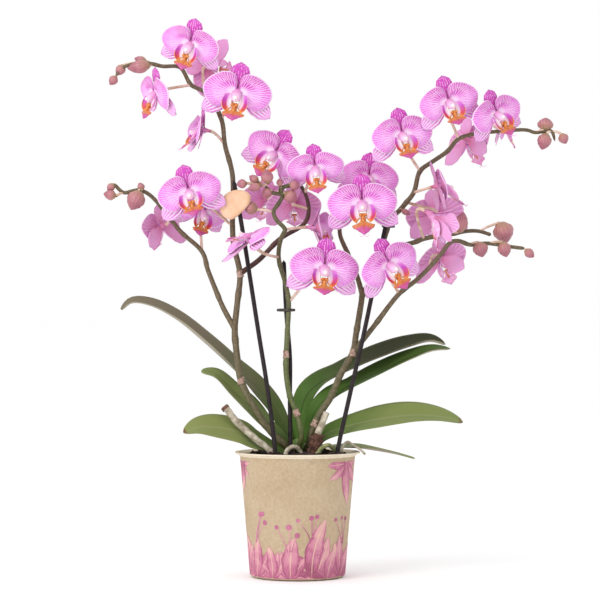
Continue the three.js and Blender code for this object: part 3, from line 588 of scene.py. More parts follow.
# %% Petal finishes
PETAL = {"roughness": 0.52, "Subsurface_Weight": 0.08, "Subsurface_Scale": 0.002, "Sheen_Weight": 0.1,
         "Specular_IOR_Level": 0.3, "bump": petal_relief, "strength": 0.25, "depth": 0.15}
petal_front = finish("petal_skin_grown", petal_colour, **PETAL)
dorsal_front = finish("upper_sepal_skin_grown", upper_sepal_colour, **PETAL)
lateral_front = finish("side_sepal_skin_grown", side_sepal_colour, **PETAL)
tepal_back = finish("petal_back_skin_grown", tepal_back_colour, **PETAL)
print("roughness of a petal:", PETAL["roughness"])

# %% [markdown]
# ### Lip and column
# The lip is fleshier and glossier than the petals. Its side lobes are white beside the column, then
# violet, blood-red below, and edged with orange. The middle lobe is orange with brown-red spots and
# ends in magenta. The column is waxy, pale pink and a little translucent. Each zone could be a piece
# with a colour of its own, but the real colours run into each other, so each lobe has one finish
# whose colour follows the place on it.

# %% Side lobe colours
def lobe_colour(tree):
    """Pale at the inner side, violet to red downwards, with an orange hem."""
    down, out = place_on(tree)
    tone = node(tree, "ValToRGB", down, stops=[
        (0.05, srgb("D87CD4")), (0.3, srgb("BE44BC")), (0.52, srgb("C43286")), (0.72, srgb("C8304A")),
        (0.9, srgb("D4622A"))])
    pale = node(tree, "MapRange", out, 0.42, 0.22, 0.0, 0.85, **SMOOTH)
    tone = node(tree, "Mix", pale, tone, srgb("FAE4F4"), **COLOURS)
    wobble = node(tree, "Math", solid_noise(tree, 2.38), 0.16, out, operation="MULTIPLY_ADD")
    rim = node(tree, "MapRange", wobble, 0.88, 0.95, 0.0, 1.0, **SMOOTH)
    low = node(tree, "MapRange", down, 0.12, 0.45, 0.0, 1.0, **SMOOTH)
    rim = node(tree, "Math", rim, low, operation="MULTIPLY")
    hem = node(tree, "MapRange", down, 0.86, 0.96, 0.0, 1.0, **SMOOTH)
    border = node(tree, "Math", rim, hem, operation="MAXIMUM")
    return node(tree, "Mix", border, tone, srgb("E09440"), **COLOURS)


print("the hem wobbles in waves of 2.38 mm,", per_metre(2.38), "in a metre")


# %% Middle lobe and column colours
SPOT_GAP = 1.22


def middle_lobe_colour(tree):
    """Orange with brown-red spots and a darker keel, and magenta at the point."""
    across, along = place_on(tree)
    off_axis = off_middle(tree, across)
    reach = node(tree, "Math", off_axis, -0.3, along, operation="MULTIPLY_ADD")
    reach = node(tree, "Math", solid_noise(tree, 2.63), 0.14, reach, operation="MULTIPLY_ADD")
    tone = node(tree, "ValToRGB", reach, stops=[
        (0.12, srgb("B8562A")), (0.3, srgb("D49450")), (0.62, srgb("CA703C")), (0.72, srgb("BE4E88")),
        (0.95, srgb("C04EA8"))])
    cells = node(tree, "TexVoronoi", sockets={
        "Vector": node(tree, "TexCoord").outputs["Object"],
        "Scale": per_metre(SPOT_GAP)}).outputs["Distance"]
    spots = node(tree, "MapRange", cells, 0.4, 0.22, 0.0, 0.75, **SMOOTH)
    spotted = node(tree, "Mix", spots, tone, srgb("B23A2C"), **COLOURS)
    keel = node(tree, "MapRange", off_axis, 0.08, 0.02, 0.0, 0.45, **SMOOTH)
    return node(tree, "Mix", keel, spotted, srgb("BE4A24"), **COLOURS)


def column_colour(tree):
    """Pink along its body and nearly white on the cap at its end: the cap's own pale colour with a
    painted highlight on it.
    """
    _, along = place_on(tree)
    share = node(tree, "Math", solid_noise(tree, 3.85), 0.1, along, operation="MULTIPLY_ADD")
    # The near-white stop on the cap is partly a painted highlight.
    return node(tree, "ValToRGB", share, stops=[
        (0.3, srgb("DA92C6")), (0.8, srgb("EFC6E2")), (1.03, srgb("F6E6E6"))])


def fleshy_bump(tree):
    """Swollen cells of 0.7 mm, which give wet flesh its sparkle."""
    return solid_noise(tree, 0.7143, 3.0)


print("spots in a metre:", per_metre(SPOT_GAP))

# %% Lip finishes
FLESH = {"roughness": 0.4, "bump": fleshy_bump, "strength": 0.15, "Subsurface_Weight": 0.1,
         "Subsurface_Scale": 0.002}
lobe_front = finish("lip_side_lobe_flesh", lobe_colour, **FLESH)
lobe_back = finish("lip_outer_flesh", speckled("E08CC8", "F4C0E4", 3.33), **FLESH)
lip_front = finish("lip_middle_lobe_flesh", middle_lobe_colour, **FLESH)
callus_flesh = finish("lip_callus_wax", speckled("BC5A26", "DC9044", 1.429), **FLESH)
column_flesh = finish("column_wax", column_colour, **FLESH)
print("roughness of the lip:", FLESH["roughness"])

# %% [markdown]
# ## Flowers
# A moth orchid's flower has three sepals at the back, two very broad petals over them, and in the
# middle a small column with the lip under it. A flat cut-out with a bend in it would do from afar,
# but its veins would run straight. Each petal is laid out as a fan from its narrow claw instead: its
# margin is measured once, and lines from the claw to the margin become the veins.

# %% Outlines of one flower, in its own frame
RIGHT_PETAL = [(0.9, 1.5), (0.8, 6.5), (2.0, 10.8), (4.6, 13.2), (8.7, 14.3), (14.8, 13.2),
               (21.0, 9.8), (25.8, 5.4), (28.0, 0.5), (27.4, -4.2), (25.0, -9.2), (21.4, -13.0),
               (16.5, -15.4), (12.4, -14.6), (8.8, -11.2), (5.2, -7.2), (2.4, -4.4)]
PETAL_CLAW = (2.0, -1.6)
UPPER_SEPAL = {"length": 22.5, "widths": [
    (0, 1.4), (0.2, 4.0), (0.42, 7.0), (0.62, UPPER_SEPAL_WIDTH / 2), (0.8, 6.7), (0.93, 4.0), (1, 0.7)]}
SIDE_SEPAL = {"length": 34.0, "widths": [
    (0, 1.6), (0.2, 4.4), (0.4, 7.4), (0.58, SIDE_SEPAL_WIDTH / 2), (0.78, 7.4), (0.92, 4.6), (1, 0.8)]}
SEPAL_TURNS = [0, -125, 125]
TEPAL_THICKNESS, BLOOM_BACK = 0.5, 6.0
# The finishes of a flower, by their numbers on it.
(PETAL_FRONT, UPPER_FRONT, SIDE_FRONT, TEPAL_BACK, LOBE_INSIDE, LOBE_OUTSIDE, LIP_FRONT, COLUMN_SKIN,
 CALLUS_SKIN) = range(9)
print("a petal reaches", max(x for x, _ in RIGHT_PETAL), "mm to the side")


def swung(x, y, z, closed):
    """A tepal that is still closing stands with its tip forward."""
    reach = math.hypot(x, z)
    swing = math.radians(closed)
    return Vector((x * math.cos(swing), y - reach * math.sin(swing), z * math.cos(swing)))


print("a tip at 20 mm that swings forward by 30 degrees:",
      tuple(round(n, 1) for n in swung(20, 0, 0, 30)))


# %% Petals
PETAL_STEPS, FIRST_STEP = 14, 0.04


def petal_along(i):
    """The rows of a petal start just off the claw and crowd together towards the margin."""
    return FIRST_STEP + (1 - FIRST_STEP) * (i / PETAL_STEPS) ** 0.9


def petal(form, side, closed, draw):
    """One broad petal. Side is 1 for the right one and -1 for the left one."""
    margin = smooth_path([(x, 0, z) for x, z in RIGHT_PETAL], 30)
    claw = Vector((PETAL_CLAW[0], 0, PETAL_CLAW[1]))
    phase, waves, lift = draw.uniform(0, 6.28), draw.choice([2, 3]), draw.uniform(-0.5, 0.6)
    rows = []
    for i in range(PETAL_STEPS + 1):
        along = petal_along(i)
        row = []
        for j, edge in enumerate(margin):
            flat = claw.lerp(edge, along)
            reach = math.hypot(flat.x, flat.z)
            turn = j / (len(margin) - 1)
            crown = 2.3 * math.sin(math.pi * min(1.0, along * 0.94))
            crown *= 0.55 + 0.45 * math.sin(math.pi * turn)
            ripple = 0.75 * math.sin(waves * 2 * math.pi * turn + phase) * along ** 4
            back = 1.3 * along ** 5
            depth = -1.9 - 0.02 * reach - crown + ripple + back - lift * reach / 28
            row.append(swung(flat.x * side, depth, flat.z, closed))
        rows.append(row if side > 0 else row[::-1])
    last = len(margin) - 1
    sheet(form, rows, TEPAL_THICKNESS, PETAL_FRONT, TEPAL_BACK,
          lambda i, j: ((j if side > 0 else last - j) / last, petal_along(i)))


print("rows of a petal:", PETAL_STEPS + 1)


# %% Sepals
SEPAL_STEPS, SEPAL_SIDE_STEPS = 16, 6


def sepal_along(i):
    return (i / SEPAL_STEPS) ** 0.92


def sepal(form, shape, turn, closed, front, draw):
    """One boat-shaped sepal, turned clockwise from upright by an angle in degrees."""
    cosine, sine = math.cos(math.radians(turn)), math.sin(math.radians(turn))
    curl, bend = draw.uniform(-0.4, 0.8), draw.uniform(-0.8, 0.8)
    rows = []
    for i in range(SEPAL_STEPS + 1):
        along = sepal_along(i)
        width = between(shape["widths"], along)
        row = []
        for j in range(2 * SEPAL_SIDE_STEPS + 1):
            across = j / SEPAL_SIDE_STEPS - 1
            x = across * width + bend * math.sin(math.pi * along)
            z = 1.0 + along * (shape["length"] - 1.0) - 0.8 * across * across * smoothstep(along, 0.8, 1)
            reach = math.hypot(x, z)
            cup = 0.9 * across * across * math.sin(math.pi * along)
            depth = 0.5 + 0.05 * reach - 0.9 * math.sin(math.pi * along) + cup + curl * along ** 3
            row.append(swung(x * cosine + z * sine, depth, z * cosine - x * sine, closed))
        rows.append(row)
    sheet(form, rows, TEPAL_THICKNESS, front, TEPAL_BACK,
          lambda i, j: (j / (2 * SEPAL_SIDE_STEPS), sepal_along(i)))


print("rows of a sepal:", SEPAL_STEPS + 1)

# %% [markdown]
# ### The lip
# The side lobes stand up like two cupped hands beside the column. A flat shape that is bent twice
# would crease, so each is a curved patch that is pulled into shape by a 4 by 4 net of handles. The
# middle lobe points forward between them, with two frilled wings, and on some flowers two hair-thin
# tendrils curl from its point.

# %% Shapes of the lip
SIDE_LOBE = [
    [(1.8, -2.0, -3.2), (2.8, -5.0, -7.0), (2.9, -7.5, -10.5), (2.2, -9.0, -12.6)],
    [(6.0, -3.5, -2.4), (8.0, -6.0, -6.4), (8.0, -9.0, -12.0), (3.8, -10.5, -14.6)],
    [(9.8, -6.0, -2.2), (12.6, -9.5, -7.2), (12.4, -12.0, -13.6), (6.2, -12.6, -16.6)],
    [(9.2, -8.6, -4.0), (11.6, -12.2, -8.2), (10.8, -14.0, -13.0), (5.0, -13.6, -16.4)],
]
MIDDLE_LOBE = {
    "widths": [(0, 1.8), (0.3, 2.3), (0.46, 4.4), (0.62, 9.2), (0.72, 8.4), (0.86, 4.6), (1, 0.9)],
    "path": [(0, -8.8, -10.6), (0, -11.4, -13.4), (0, -14.0, -15.8), (0, -16.6, -18.2),
             (0, -18.6, -21.4)]}
# How much longer the point of the lip is on one flower.
LONG_TIPS = {"right_01": 3.4}


def bezier(four, t):
    """A point on the curve from the first to the last of four handles."""
    a, b, c, d = (Vector(point) for point in four)
    s = 1 - t
    return a * s ** 3 + b * 3 * s * s * t + c * 3 * s * t * t + d * t ** 3


print("the lip reaches", -MIDDLE_LOBE["path"][-1][2], "mm down")


# %% Side lobes
LOBE_STEPS = 12


def side_lobe(form, side):
    """A curved patch: a curve through each column of handles, and a curve across those."""
    rows = []
    for i in range(LOBE_STEPS + 1):
        handles = [bezier(rib, i / LOBE_STEPS) for rib in zip(*SIDE_LOBE)]
        row = [bezier(handles, j / LOBE_STEPS) for j in range(LOBE_STEPS + 1)]
        row = [Vector((point.x * side, point.y, point.z)) for point in row]
        rows.append(row if side < 0 else row[::-1])
    sheet(form, rows, TEPAL_THICKNESS, LOBE_OUTSIDE, LOBE_INSIDE,
          lambda i, j: ((LOBE_STEPS - j if side > 0 else j) / LOBE_STEPS, i / LOBE_STEPS))


trial = Form()
side_lobe(trial, 1)
print("faces of a side lobe:", len(trial.faces))


# %% Middle lobe
LIP_STEPS, LIP_SIDE_STEPS = 20, 8
CURLED_SHARE = 0.3  # of the flowers have tendrils


def middle_lobe(form, tip_length, draw):
    """The forward lobe with its keel and frilled wings, and on some flowers two tendrils."""
    route = [Vector(point) for point in MIDDLE_LOBE["path"]]
    route[-1] += Vector((0, -0.4, -1)) * tip_length
    path = smooth_path(route, LIP_STEPS)
    twist, phase = draw.uniform(-0.4, 0.4), draw.uniform(0, 6.28)
    rows = []
    for i, rib in enumerate(path):
        along = i / LIP_STEPS
        width = between(MIDDLE_LOBE["widths"], along)
        wings = smoothstep(along, 0.35, 0.6)
        row = []
        for j in range(2 * LIP_SIDE_STEPS + 1):
            across = j / LIP_SIDE_STEPS - 1
            droop = 0.9 * across * across * wings + 0.8 * across * across
            keel = 0.8 * math.exp(-(across / 0.2) ** 2) * (1 - along)
            frill = 0.45 * math.sin(9 * along + 7 * across + phase) * wings * across * across
            row.append(rib + Vector((across * width + twist * along, droop - keel + frill,
                                     1.4 * abs(across) * wings * (1 - along) + 0.5 * frill)))
        rows.append(row)
    sheet(form, rows[::-1], TEPAL_THICKNESS, LIP_FRONT, LOBE_OUTSIDE,
          lambda i, j: (j / (2 * LIP_SIDE_STEPS), 1 - i / LIP_STEPS))
    if draw.random() < CURLED_SHARE:
        for side in (-1, 1):
            curl = [path[-1] + Vector(offset) for offset in (
                (0, 0.3, 0.6), (side * 1.0, -0.4, -1.2), (side * 2.6, -1.6, -1.6),
                (side * 3.6, -2.6, 0.2))]
            tube(form, smooth_path(curl, 12), lambda s, turn: 0.28 * (1 - 0.5 * s), 6, LOBE_OUTSIDE)


print("rows of the middle lobe:", LIP_STEPS + 1)


# %% Column and callus
def column(form):
    """The column with its cap and two arms, and the callus: two horns and a swelling in the throat."""
    hub = smooth_path([(0, BLOOM_BACK, 0), (0, 3, 0), (0, 0.4, -0.3)], 6)
    tube(form, hub, lambda s, turn: 1.5 + 1.9 * s * s, 12, TEPAL_BACK)
    path = smooth_path([
        (0, 0.8, -0.6), (0, -3.0, -1.6), (0, -6.5, -3.6), (0, -9.6, -5.6), (0, -11.4, -7.0)], 20)

    def girth(s, turn):
        body = between([(0, 2.9), (0.3, 3.2), (0.6, 3.7), (0.85, 3.7), (1, 3.2)], s)
        return body * (1 + 0.08 * math.cos(2 * turn)) * rounded(0.5 + s / 2, 0.2) + 0.02
    tube(form, path, girth, 18, COLUMN_SKIN, pattern=lambda i, j: (j / 18, 0.8 * i / 20))
    cap = smooth_path([(0, -9.8, -3.4), (0, -11.4, -4.2), (0, -12.7, -5.6)], 8)
    tube(form, cap, lambda s, turn: 1.5 * rounded(s, 0.45) + 0.02, 12, COLUMN_SKIN,
         pattern=lambda i, j: (j / 12, 1.0))
    for side in (-1, 1):
        arm = smooth_path([(side * 3.2, -4.0, -4.6), (side * 3.8, -7.4, -8.4),
                           (side * 2.8, -9.6, -12.4)], 10)
        tube(form, arm, lambda s, turn: rounded(s, 0.3) + 0.02, 8, COLUMN_SKIN,
             pattern=lambda i, j: (j / 8, 0.95))
        horn = smooth_path([(0, -8.2, -10.0), (side * 1.3, -10.0, -9.9), (side * 2.9, -11.6, -10.7)], 8)
        tube(form, horn, lambda s, turn: 1.35 * rounded(s, 0.4) + 0.02, 10, CALLUS_SKIN)
    throat = smooth_path([(0, -8.6, -10.2), (0, -11.2, -12.0), (0, -12.8, -14.6), (0, -13.4, -16.6)], 10)
    tube(form, throat, lambda s, turn: (1.7 - 0.5 * s) * rounded(s, 0.3) + 0.02, 12, CALLUS_SKIN)


trial = Form()
column(trial)
print("faces of a column with its callus:", len(trial.faces))

# %% [markdown]
# ### Every flower in its place
# Each row below is one flower: its middle, its size beside the largest, how it is turned, how far its
# petals are swung forward, and the stem point that its stalk grows from. One flower could be made
# and copied, but real ones differ in their waves and tips, so each is grown afresh from its own seed.
# Flowers that look away from the viewer show their paler outer side.

# %% Where the flowers sit
BLOOMS = [
    ("left_01", (-84, -22, 425), 0.88, -20, 20, 17, 0, ("left", "main", 17)),
    ("left_02", (-73, 16, 408), 0.85, 160, 0, 86, 0, ("left", "main", 15)),
    ("left_03", (-47, -22, 387), 1.0, -8, 14, 9, 0, ("left", "main", 14)),
    ("left_04", (-112, -10, 387), 0.87, -62, 15, 10, 0, ("left", "main", 16)),
    ("left_05", (-75, -2, 357), 0.85, -75, -10, 0, 16, ("left", "main", 13)),
    ("left_06", (-17, -2, 339), 0.93, -22, 8, 33, 0, ("left", "dark", 6)),
    ("left_07", (14, -24, 327), 0.82, 0, 25, -7, 0, ("left", "dark", 5)),
    ("left_08", (-86, -20, 308), 0.93, 0, 5, -14, 0, ("left", "main", 11)),
    ("left_09", (-76, 20, 294), 0.8, 20, 28, 15, 0, ("left", "side", 4)),
    ("left_10", (-110, 22, 281), 0.8, 230, 12, 8, 0, ("left", "side", 6)),
    ("left_11", (-3, 20, 298), 0.8, 176, 0, 0, 0, ("left", "dark", 4)),
    ("left_12", (-26, 50, 304), 0.8, 200, 0, 0, 0, ("left", "dark", 6)),
    ("centre_01", (-37, -38, 268), 0.85, -62, -50, -20, 0, ("centre", "main", 10)),
    ("centre_02", (12, -8, 279), 0.85, 75, 0, -15, 28, ("centre", "main", 12)),
    ("centre_03", (21, -32, 248), 1.0, 8, 6, 6, 0, ("centre", "main", 8)),
    ("right_01", (51, -24, 299), 1.0, 0, 6, -3, 0, ("right", "inner", 4)),
    ("right_02", (57, 4, 320), 0.88, 8, 0, 5, 0, ("right", "inner", 5)),
    ("right_03", (71, -31, 250), 0.95, 28, 6, -25, 0, ("right", "outer", 2)),
    ("right_04", (82, -22, 353), 0.92, 16, 5, -10, 0, ("right", "main", 18)),
    ("right_05", (119, -22, 379), 0.9, 15, 6, -15, 0, ("right", "main", 21)),
    ("right_06", (157, -14, 370), 0.85, 32, 5, -20, 0, ("right", "main", 23)),
    ("right_07", (138, 28, 351), 0.85, 130, 10, 10, 0, ("right", "main", 20)),
    ("right_08", (166, 30, 364), 0.8, 85, 12, 0, 0, ("right", "main", 23)),
    ("right_09", (112, 38, 292), 0.88, 190, 5, 10, 0, ("right", "main", 16)),
    ("right_10", (112, -10, 312), 0.92, 96, -14, 0, 0, ("right", "main", 17)),
    ("right_11", (115, 12, 255), 0.85, 140, 18, 15, 0, ("right", "outer", 4)),
    ("right_12", (105, -40, 288), 0.95, 95, 30, 0, 50, ("right", "middle", 2)),
]
BLOOM_SKINS = [petal_front, dorsal_front, lateral_front, tepal_back, lobe_front, lobe_back, lip_front,
               column_flesh, callus_flesh]
print("flowers in the table:", len(BLOOMS))


# %% How a flower is turned
def facing(place, size, yaw, nod, roll):
    """Yaw turns a flower to its side, nod bows it, and roll turns it like a clock's hand."""
    turn = Euler((math.radians(nod), math.radians(roll), math.radians(yaw)), "YXZ").to_matrix().to_4x4()
    return Matrix.Translation(Vector(place)) @ turn @ Matrix.Scale(size, 4)


print("a flower's back, turned to the side:",
      tuple(round(n, 1) for n in facing((0, 0, 0), 1, 90, 0, 0) @ Vector((0, BLOOM_BACK, 0))))

# %% Grow every flower
for number, (name, place, size, yaw, nod, roll, closed, _) in enumerate(BLOOMS):
    draw = random.Random(100 + number)
    form = Form()
    for side in (1, -1):
        petal(form, side, closed, draw)
    for turn in SEPAL_TURNS:
        shape, front = (UPPER_SEPAL, UPPER_FRONT) if turn == 0 else (SIDE_SEPAL, SIDE_FRONT)
        sepal(form, shape, turn, closed, front, draw)
    for side in (1, -1):
        side_lobe(form, side)
    middle_lobe(form, LONG_TIPS.get(name, 0.0), draw)
    column(form)
    pose = facing(place, size, yaw, nod, roll)
    form.points = [pose @ point for point in form.points]
    form.place("flower_" + name, BLOOM_SKINS, "petal", ["bloom_" + name])
print("flowers:", len(BLOOMS), "faces in one:", len(form.faces))

# %% [markdown]
# ## Flower spikes
# A spike is a slim woody stem. It is olive brown where the sun hit it and greener low down, with a
# pale papery sheath at each joint. The flower stalks are paler, ribbed, and swell towards the flower.
# Buds are waxy and egg-shaped, brownish rose over green. A bevelled curve would make an even pipe.
# A tube whose radius is a formula can also swell at its joints and be a little out of round.

# %% Stem colours
def stem_colour(brown, green, height_low, height_high):
    """Brown bark that turns green towards the pot."""
    def build(tree):
        space = node(tree, "TexCoord").outputs["Object"]
        height = node(tree, "SeparateXYZ", space).outputs["Z"]
        wander = node(tree, "Math", solid_noise(tree, 16.7), 0.05, height, operation="MULTIPLY_ADD")
        share = node(tree, "MapRange", wander, height_low, height_high, 0.0, 1.0, **SMOOTH)
        tone = node(tree, "Mix", share, srgb(green), srgb(brown), **COLOURS)
        grain = node(tree, "MapRange", solid_noise(tree, 1.923, 4.0), 0.42, 0.75, 0.0, 0.45)
        return node(tree, "Mix", grain, tone, srgb("988868"), **COLOURS)
    return build


def fine_grain(tree):
    """Grains of two thirds of a millimetre, for every dry skin."""
    return solid_noise(tree, 0.6667, 4.0)

print("grains in a metre:", per_metre(0.6667))

# %% Stem finishes
stem_brown = finish("spike_bark_grown", stem_colour("5A4A34", "504E2E", 0.12, 0.26),
                    0.55, fine_grain, 0.5)
stem_green = finish("centre_spike_bark_grown", stem_colour("524C2E", "4C5A28", 0.16, 0.34),
                    0.5, fine_grain, 0.5)
stem_dark = finish("dark_branch_bark_grown", speckled("3E2420", "5C3830", 3.85), 0.5, fine_grain)
stalk_skin = finish("flower_stalk_skin_grown", speckled("BE9A80", "E6CBBC", 8.33), 0.5, fine_grain)
sheath_paper = finish("dry_sheath_papery", speckled("7E6050", "C4A698", 2.38), 0.8, fine_grain, depth=0.8)
print("stem finishes:", stem_brown.name, stem_green.name, stem_dark.name)


# %% Bud finish
BUD_GIRTH = 38  # millimetres round a common bud of 12 mm
BUD_LINES = lines_across(BUD_GIRTH, 2.5)


def bud_colour(tree):
    """Green at the foot, rose above, with faint pale lines from foot to tip."""
    across, along = place_on(tree)
    share = node(tree, "Math", solid_noise(tree, 6.25), 0.5, along, operation="MULTIPLY_ADD")
    tone = node(tree, "ValToRGB", share, stops=[
        (0.2, srgb("8E8856")), (0.42, srgb("AE7A6E")), (0.8, srgb("AE6E78")), (1.15, srgb("9C5A68"))])
    wave = node(tree, "Math", across, float(BUD_LINES), operation="MULTIPLY")
    wave = node(tree, "Math", wave, 0.5, operation="PINGPONG")
    line = node(tree, "MapRange", wave, 0.2, 0.05, 0.0, 0.22, **SMOOTH)
    return node(tree, "Mix", line, tone, srgb("DCA8A6"), **COLOURS)


bud_skin = finish("bud_skin_waxy", bud_colour, 0.42, fine_grain, 0.15)
print("lines round a bud:", BUD_LINES)

# %% Routes of the stems
# Each spike: its radius at foot and tip, then the middle line of its main stem and of each branch.
SPIKES = {
    "left": {
        "radii": (2.8, 1.1),
        "main": [(-3, -5, 98), (-8, -11, 104), (-17, -13, 112), (-27, -14, 124), (-39, -13, 144),
                 (-45, -11, 157), (-48, -8, 175), (-50, -5, 198), (-48, -3, 219), (-46, -2, 242),
                 (-51, -1, 265), (-52, 0, 280), (-52, 0, 321), (-58, 0, 345), (-61, 0, 366),
                 (-74, 0, 387), (-85, 0, 393), (-94, 0, 407), (-108, 0, 408), (-117, 0, 410),
                 (-126, 0, 411), (-141, 0, 406), (-146, 0, 399)],
        "side": [(-50, -5, 198), (-59, -1, 214), (-66, 5, 230), (-72, 11, 245), (-77, 16, 260),
                 (-94, 13, 276), (-105, 9, 290), (-114, 6, 301), (-121, 4, 307), (-128, 2, 309),
                 (-139, 1, 307), (-147, 0, 314)],
        "dark": [(-46, -2, 242), (-31, 3, 253), (-14, 7, 270), (6, 10, 283), (9, 11, 294),
                 (6, 11, 307), (-3, 10, 321)],
    },
    "centre": {
        "radii": (2.1, 1.3),
        "main": [(0, -5, 99), (1, -12, 104), (3, -18, 113), (-1, -20, 132), (-6, -21, 145),
                 (-9, -20, 164), (-9, -18, 178), (-8, -15, 196), (-7, -13, 219), (-9, -12, 232),
                 (-15, -12, 255), (-13, -12, 270), (-10, -12, 277), (-17, -13, 285), (-19, -14, 291),
                 (-14, -17, 299), (-12, -20, 304), (-20, -23, 306), (-26, -24, 311)],
        "twig": [(-12, -20, 304), (-13, -21, 309), (-6, -21, 312), (-3, -21, 314)],
    },
    "right": {
        "radii": (2.6, 1.1),
        "main": [(6, -4, 101), (9, -10, 107), (11, -14, 115), (14, -15, 123), (20, -14, 134),
                 (26, -12, 143), (35, -9, 163), (44, -6, 179), (47, -4, 195), (51, -2, 219),
                 (52, -1, 225), (57, 0, 234), (66, 0, 261), (69, 0, 269), (75, 0, 286), (82, 0, 293),
                 (87, 0, 299), (93, 0, 307), (98, 0, 324), (107, 0, 331), (120, 0, 340),
                 (129, 0, 350), (143, 0, 354), (163, 0, 356), (183, 0, 357), (190, 0, 355),
                 (203, 0, 356), (206, 0, 348)],
        "inner": [(52, -1, 225), (48, 4, 239), (40, 8, 259), (34, 11, 275), (36, 13, 291),
                  (43, 17, 309)],
        "outer": [(44, -6, 179), (60, -9, 199), (81, -11, 226), (96, -12, 238), (105, -12, 247),
                  (113, -12, 256), (122, -12, 267), (128, -12, 268), (137, -12, 265), (151, -12, 266),
                  (172, -12, 263), (181, -12, 262)],
        "middle": [(66, 0, 261), (93, -1, 267), (101, -1, 270), (125, -1, 274), (135, -1, 276),
                   (145, -1, 276), (155, -1, 273)],
    },
}
JOINTS = {"left": [5, 9], "centre": [3, 6], "right": [3, 7]}
print("stems and branches:", sum(len(spike) - 1 for spike in SPIKES.values()))

# %% Buds
# Each bud: where it sits, its tip, its width, and the stem point that its stalk grows from.
BUDS = {
    "left": [((-118, 0, 409), (-136, -2, 406), 11, "main", 18),
             ((-121, 4, 412), (-131, 6, 415), 6.5, "main", 19),
             ((-139, 1, 409), (-145, 3, 401), 8, "main", 20),
             ((-145, 0, 400), (-150, -1, 393), 7.5, "main", 22),
             ((-126, 0, 308), (-133, -3, 293), 15, "side", 9),
             ((-124, 2, 309), (-127, 4, 315), 6, "side", 9),
             ((-147, 0, 314), (-152, 1, 308), 6.5, "side", 11),
             ((-145, -2, 304), (-155, -3, 306), 8.5, "side", 10)],
    "centre": [((-40, -30, 313), (-48, -32, 312), 7.5, "main", 18),
               ((-31, -27, 314), (-38, -27, 319), 7, "main", 18),
               ((-29, -32, 311), (-39, -36, 308), 7, "main", 18),
               ((-23, -30, 313), (-25, -33, 324), 10, "main", 18),
               ((-22, -25, 308), (-27, -29, 302), 8, "main", 17),
               ((-14, -24, 311), (-14, -27, 317), 5.5, "twig", 1),
               ((-6, -23, 312), (2, -26, 311), 8, "twig", 2),
               ((-9, -22, 306), (-1, -24, 299), 11, "main", 16),
               ((-32, -10, 293), (-43, -6, 296), 11, "main", 14)],
    "right": [((198, 0, 357), (199, 3, 367), 13, "main", 25),
              ((199, -2, 354), (195, -4, 341), 11.5, "main", 26),
              ((211, 0, 354), (215, 1, 346), 8.5, "main", 26),
              ((83, -3, 293), (90, -6, 289), 5, "main", 15),
              ((162, 0, 283), (168, 1, 267), 17, "middle", 5),
              ((129, -6, 275), (132, -12, 291), 11, "middle", 3),
              ((144, -13, 267), (147, -15, 255), 12.5, "outer", 8),
              ((163, -13, 267), (166, -15, 255), 11, "outer", 9),
              ((181, -12, 261), (188, -13, 255), 7.5, "outer", 11)],
}
print("buds:", sum(len(rows) for rows in BUDS.values()))

# The finishes of a spike, by their numbers on it.
STEM_BARK, DARK_BARK, STALK_SKIN, SHEATH_PAPER, BUD_SKIN = range(5)
STEM_STEPS = 14  # for each stretch of a route


# %% Woody stems
def woody(form, route, start, end, finish_number, seed):
    """A stem that tapers, swells a little at its joints and is never quite round."""
    path = smooth_path(route, STEM_STEPS * len(route))
    count = len(route) - 1

    def girth(s, turn):
        swell = 0.14 * max(0.0, math.cos(2 * math.pi * s * count / 2)) ** 8
        lumps = 0.07 * noise.noise(Vector((math.cos(turn), math.sin(turn), s * count * 1.5 + seed)))
        return (start + (end - start) * s + 0.25) * (1 + swell + lumps) * rounded(0.5 + s / 2, 0.01)
    tube(form, path, girth, 12, finish_number)


trial = Form()
woody(trial, SPIKES["left"]["side"], 1.9, 1.2, STEM_BARK, 5.0)
print("faces of a side branch:", len(trial.faces))


# %% Flower stalks
SEAT_GAP = 0.3  # millimetres that stay free between a stalk and its flower
STALK_STEPS = 24


def stalk(form, bloom):
    """A stalk bends from its stem to the axis of its flower and meets the flower from behind."""
    _, place, size, yaw, nod, roll, _, (spike, branch, index) = bloom
    start = Vector(SPIKES[spike][branch][index])
    pose = facing(place, 1, yaw, nod, roll)
    back = BLOOM_BACK * size + SEAT_GAP
    end = pose @ Vector((0, back, 0))
    behind = pose @ Vector((0, back + (start - end).length * 0.28, 0))
    handles = [start, start.lerp(behind, 0.5), behind, end]
    path = [bezier(handles, step / STALK_STEPS) for step in range(STALK_STEPS + 1)]

    def girth(s, turn):
        ribs = 1 + 0.09 * math.cos(6 * turn) * smoothstep(s, 0.3, 0.7)
        return (1.15 + 0.35 * smoothstep(s, 0.75, 1)) * ribs
    tube(form, path, girth, 12, STALK_SKIN)


trial = Form()
stalk(trial, BLOOMS[0])
print("faces of a stalk:", len(trial.faces))


# %% One bud and one sheath
def bud(form, route, seat, tip, width):
    """A short stalk from the stem to the seat, and an egg with three creases from seat to tip."""
    start, low, high = (Vector(point) for point in (route, seat, tip))
    tube(form, smooth_path([start, start.lerp(low, 0.5) + Vector((0, 0, 0.6)), low], 8),
         lambda s, turn: 0.95 + 0.25 * s, 10, STALK_SKIN, ends=False)
    path = [low.lerp(high, step / 16) for step in range(17)]

    def girth(s, turn):
        egg = between([
            (0, 0.3), (0.1, 0.6), (0.3, 0.96), (0.48, 1.0), (0.7, 0.8), (0.88, 0.44), (1, 0.05)], s)
        creases = 1 - 0.07 * max(0.0, math.cos(3 * turn)) ** 6
        return width / 2 * egg * creases
    tube(form, path, girth, 18, BUD_SKIN, pattern=lambda i, j: (j / 18, i / 16))


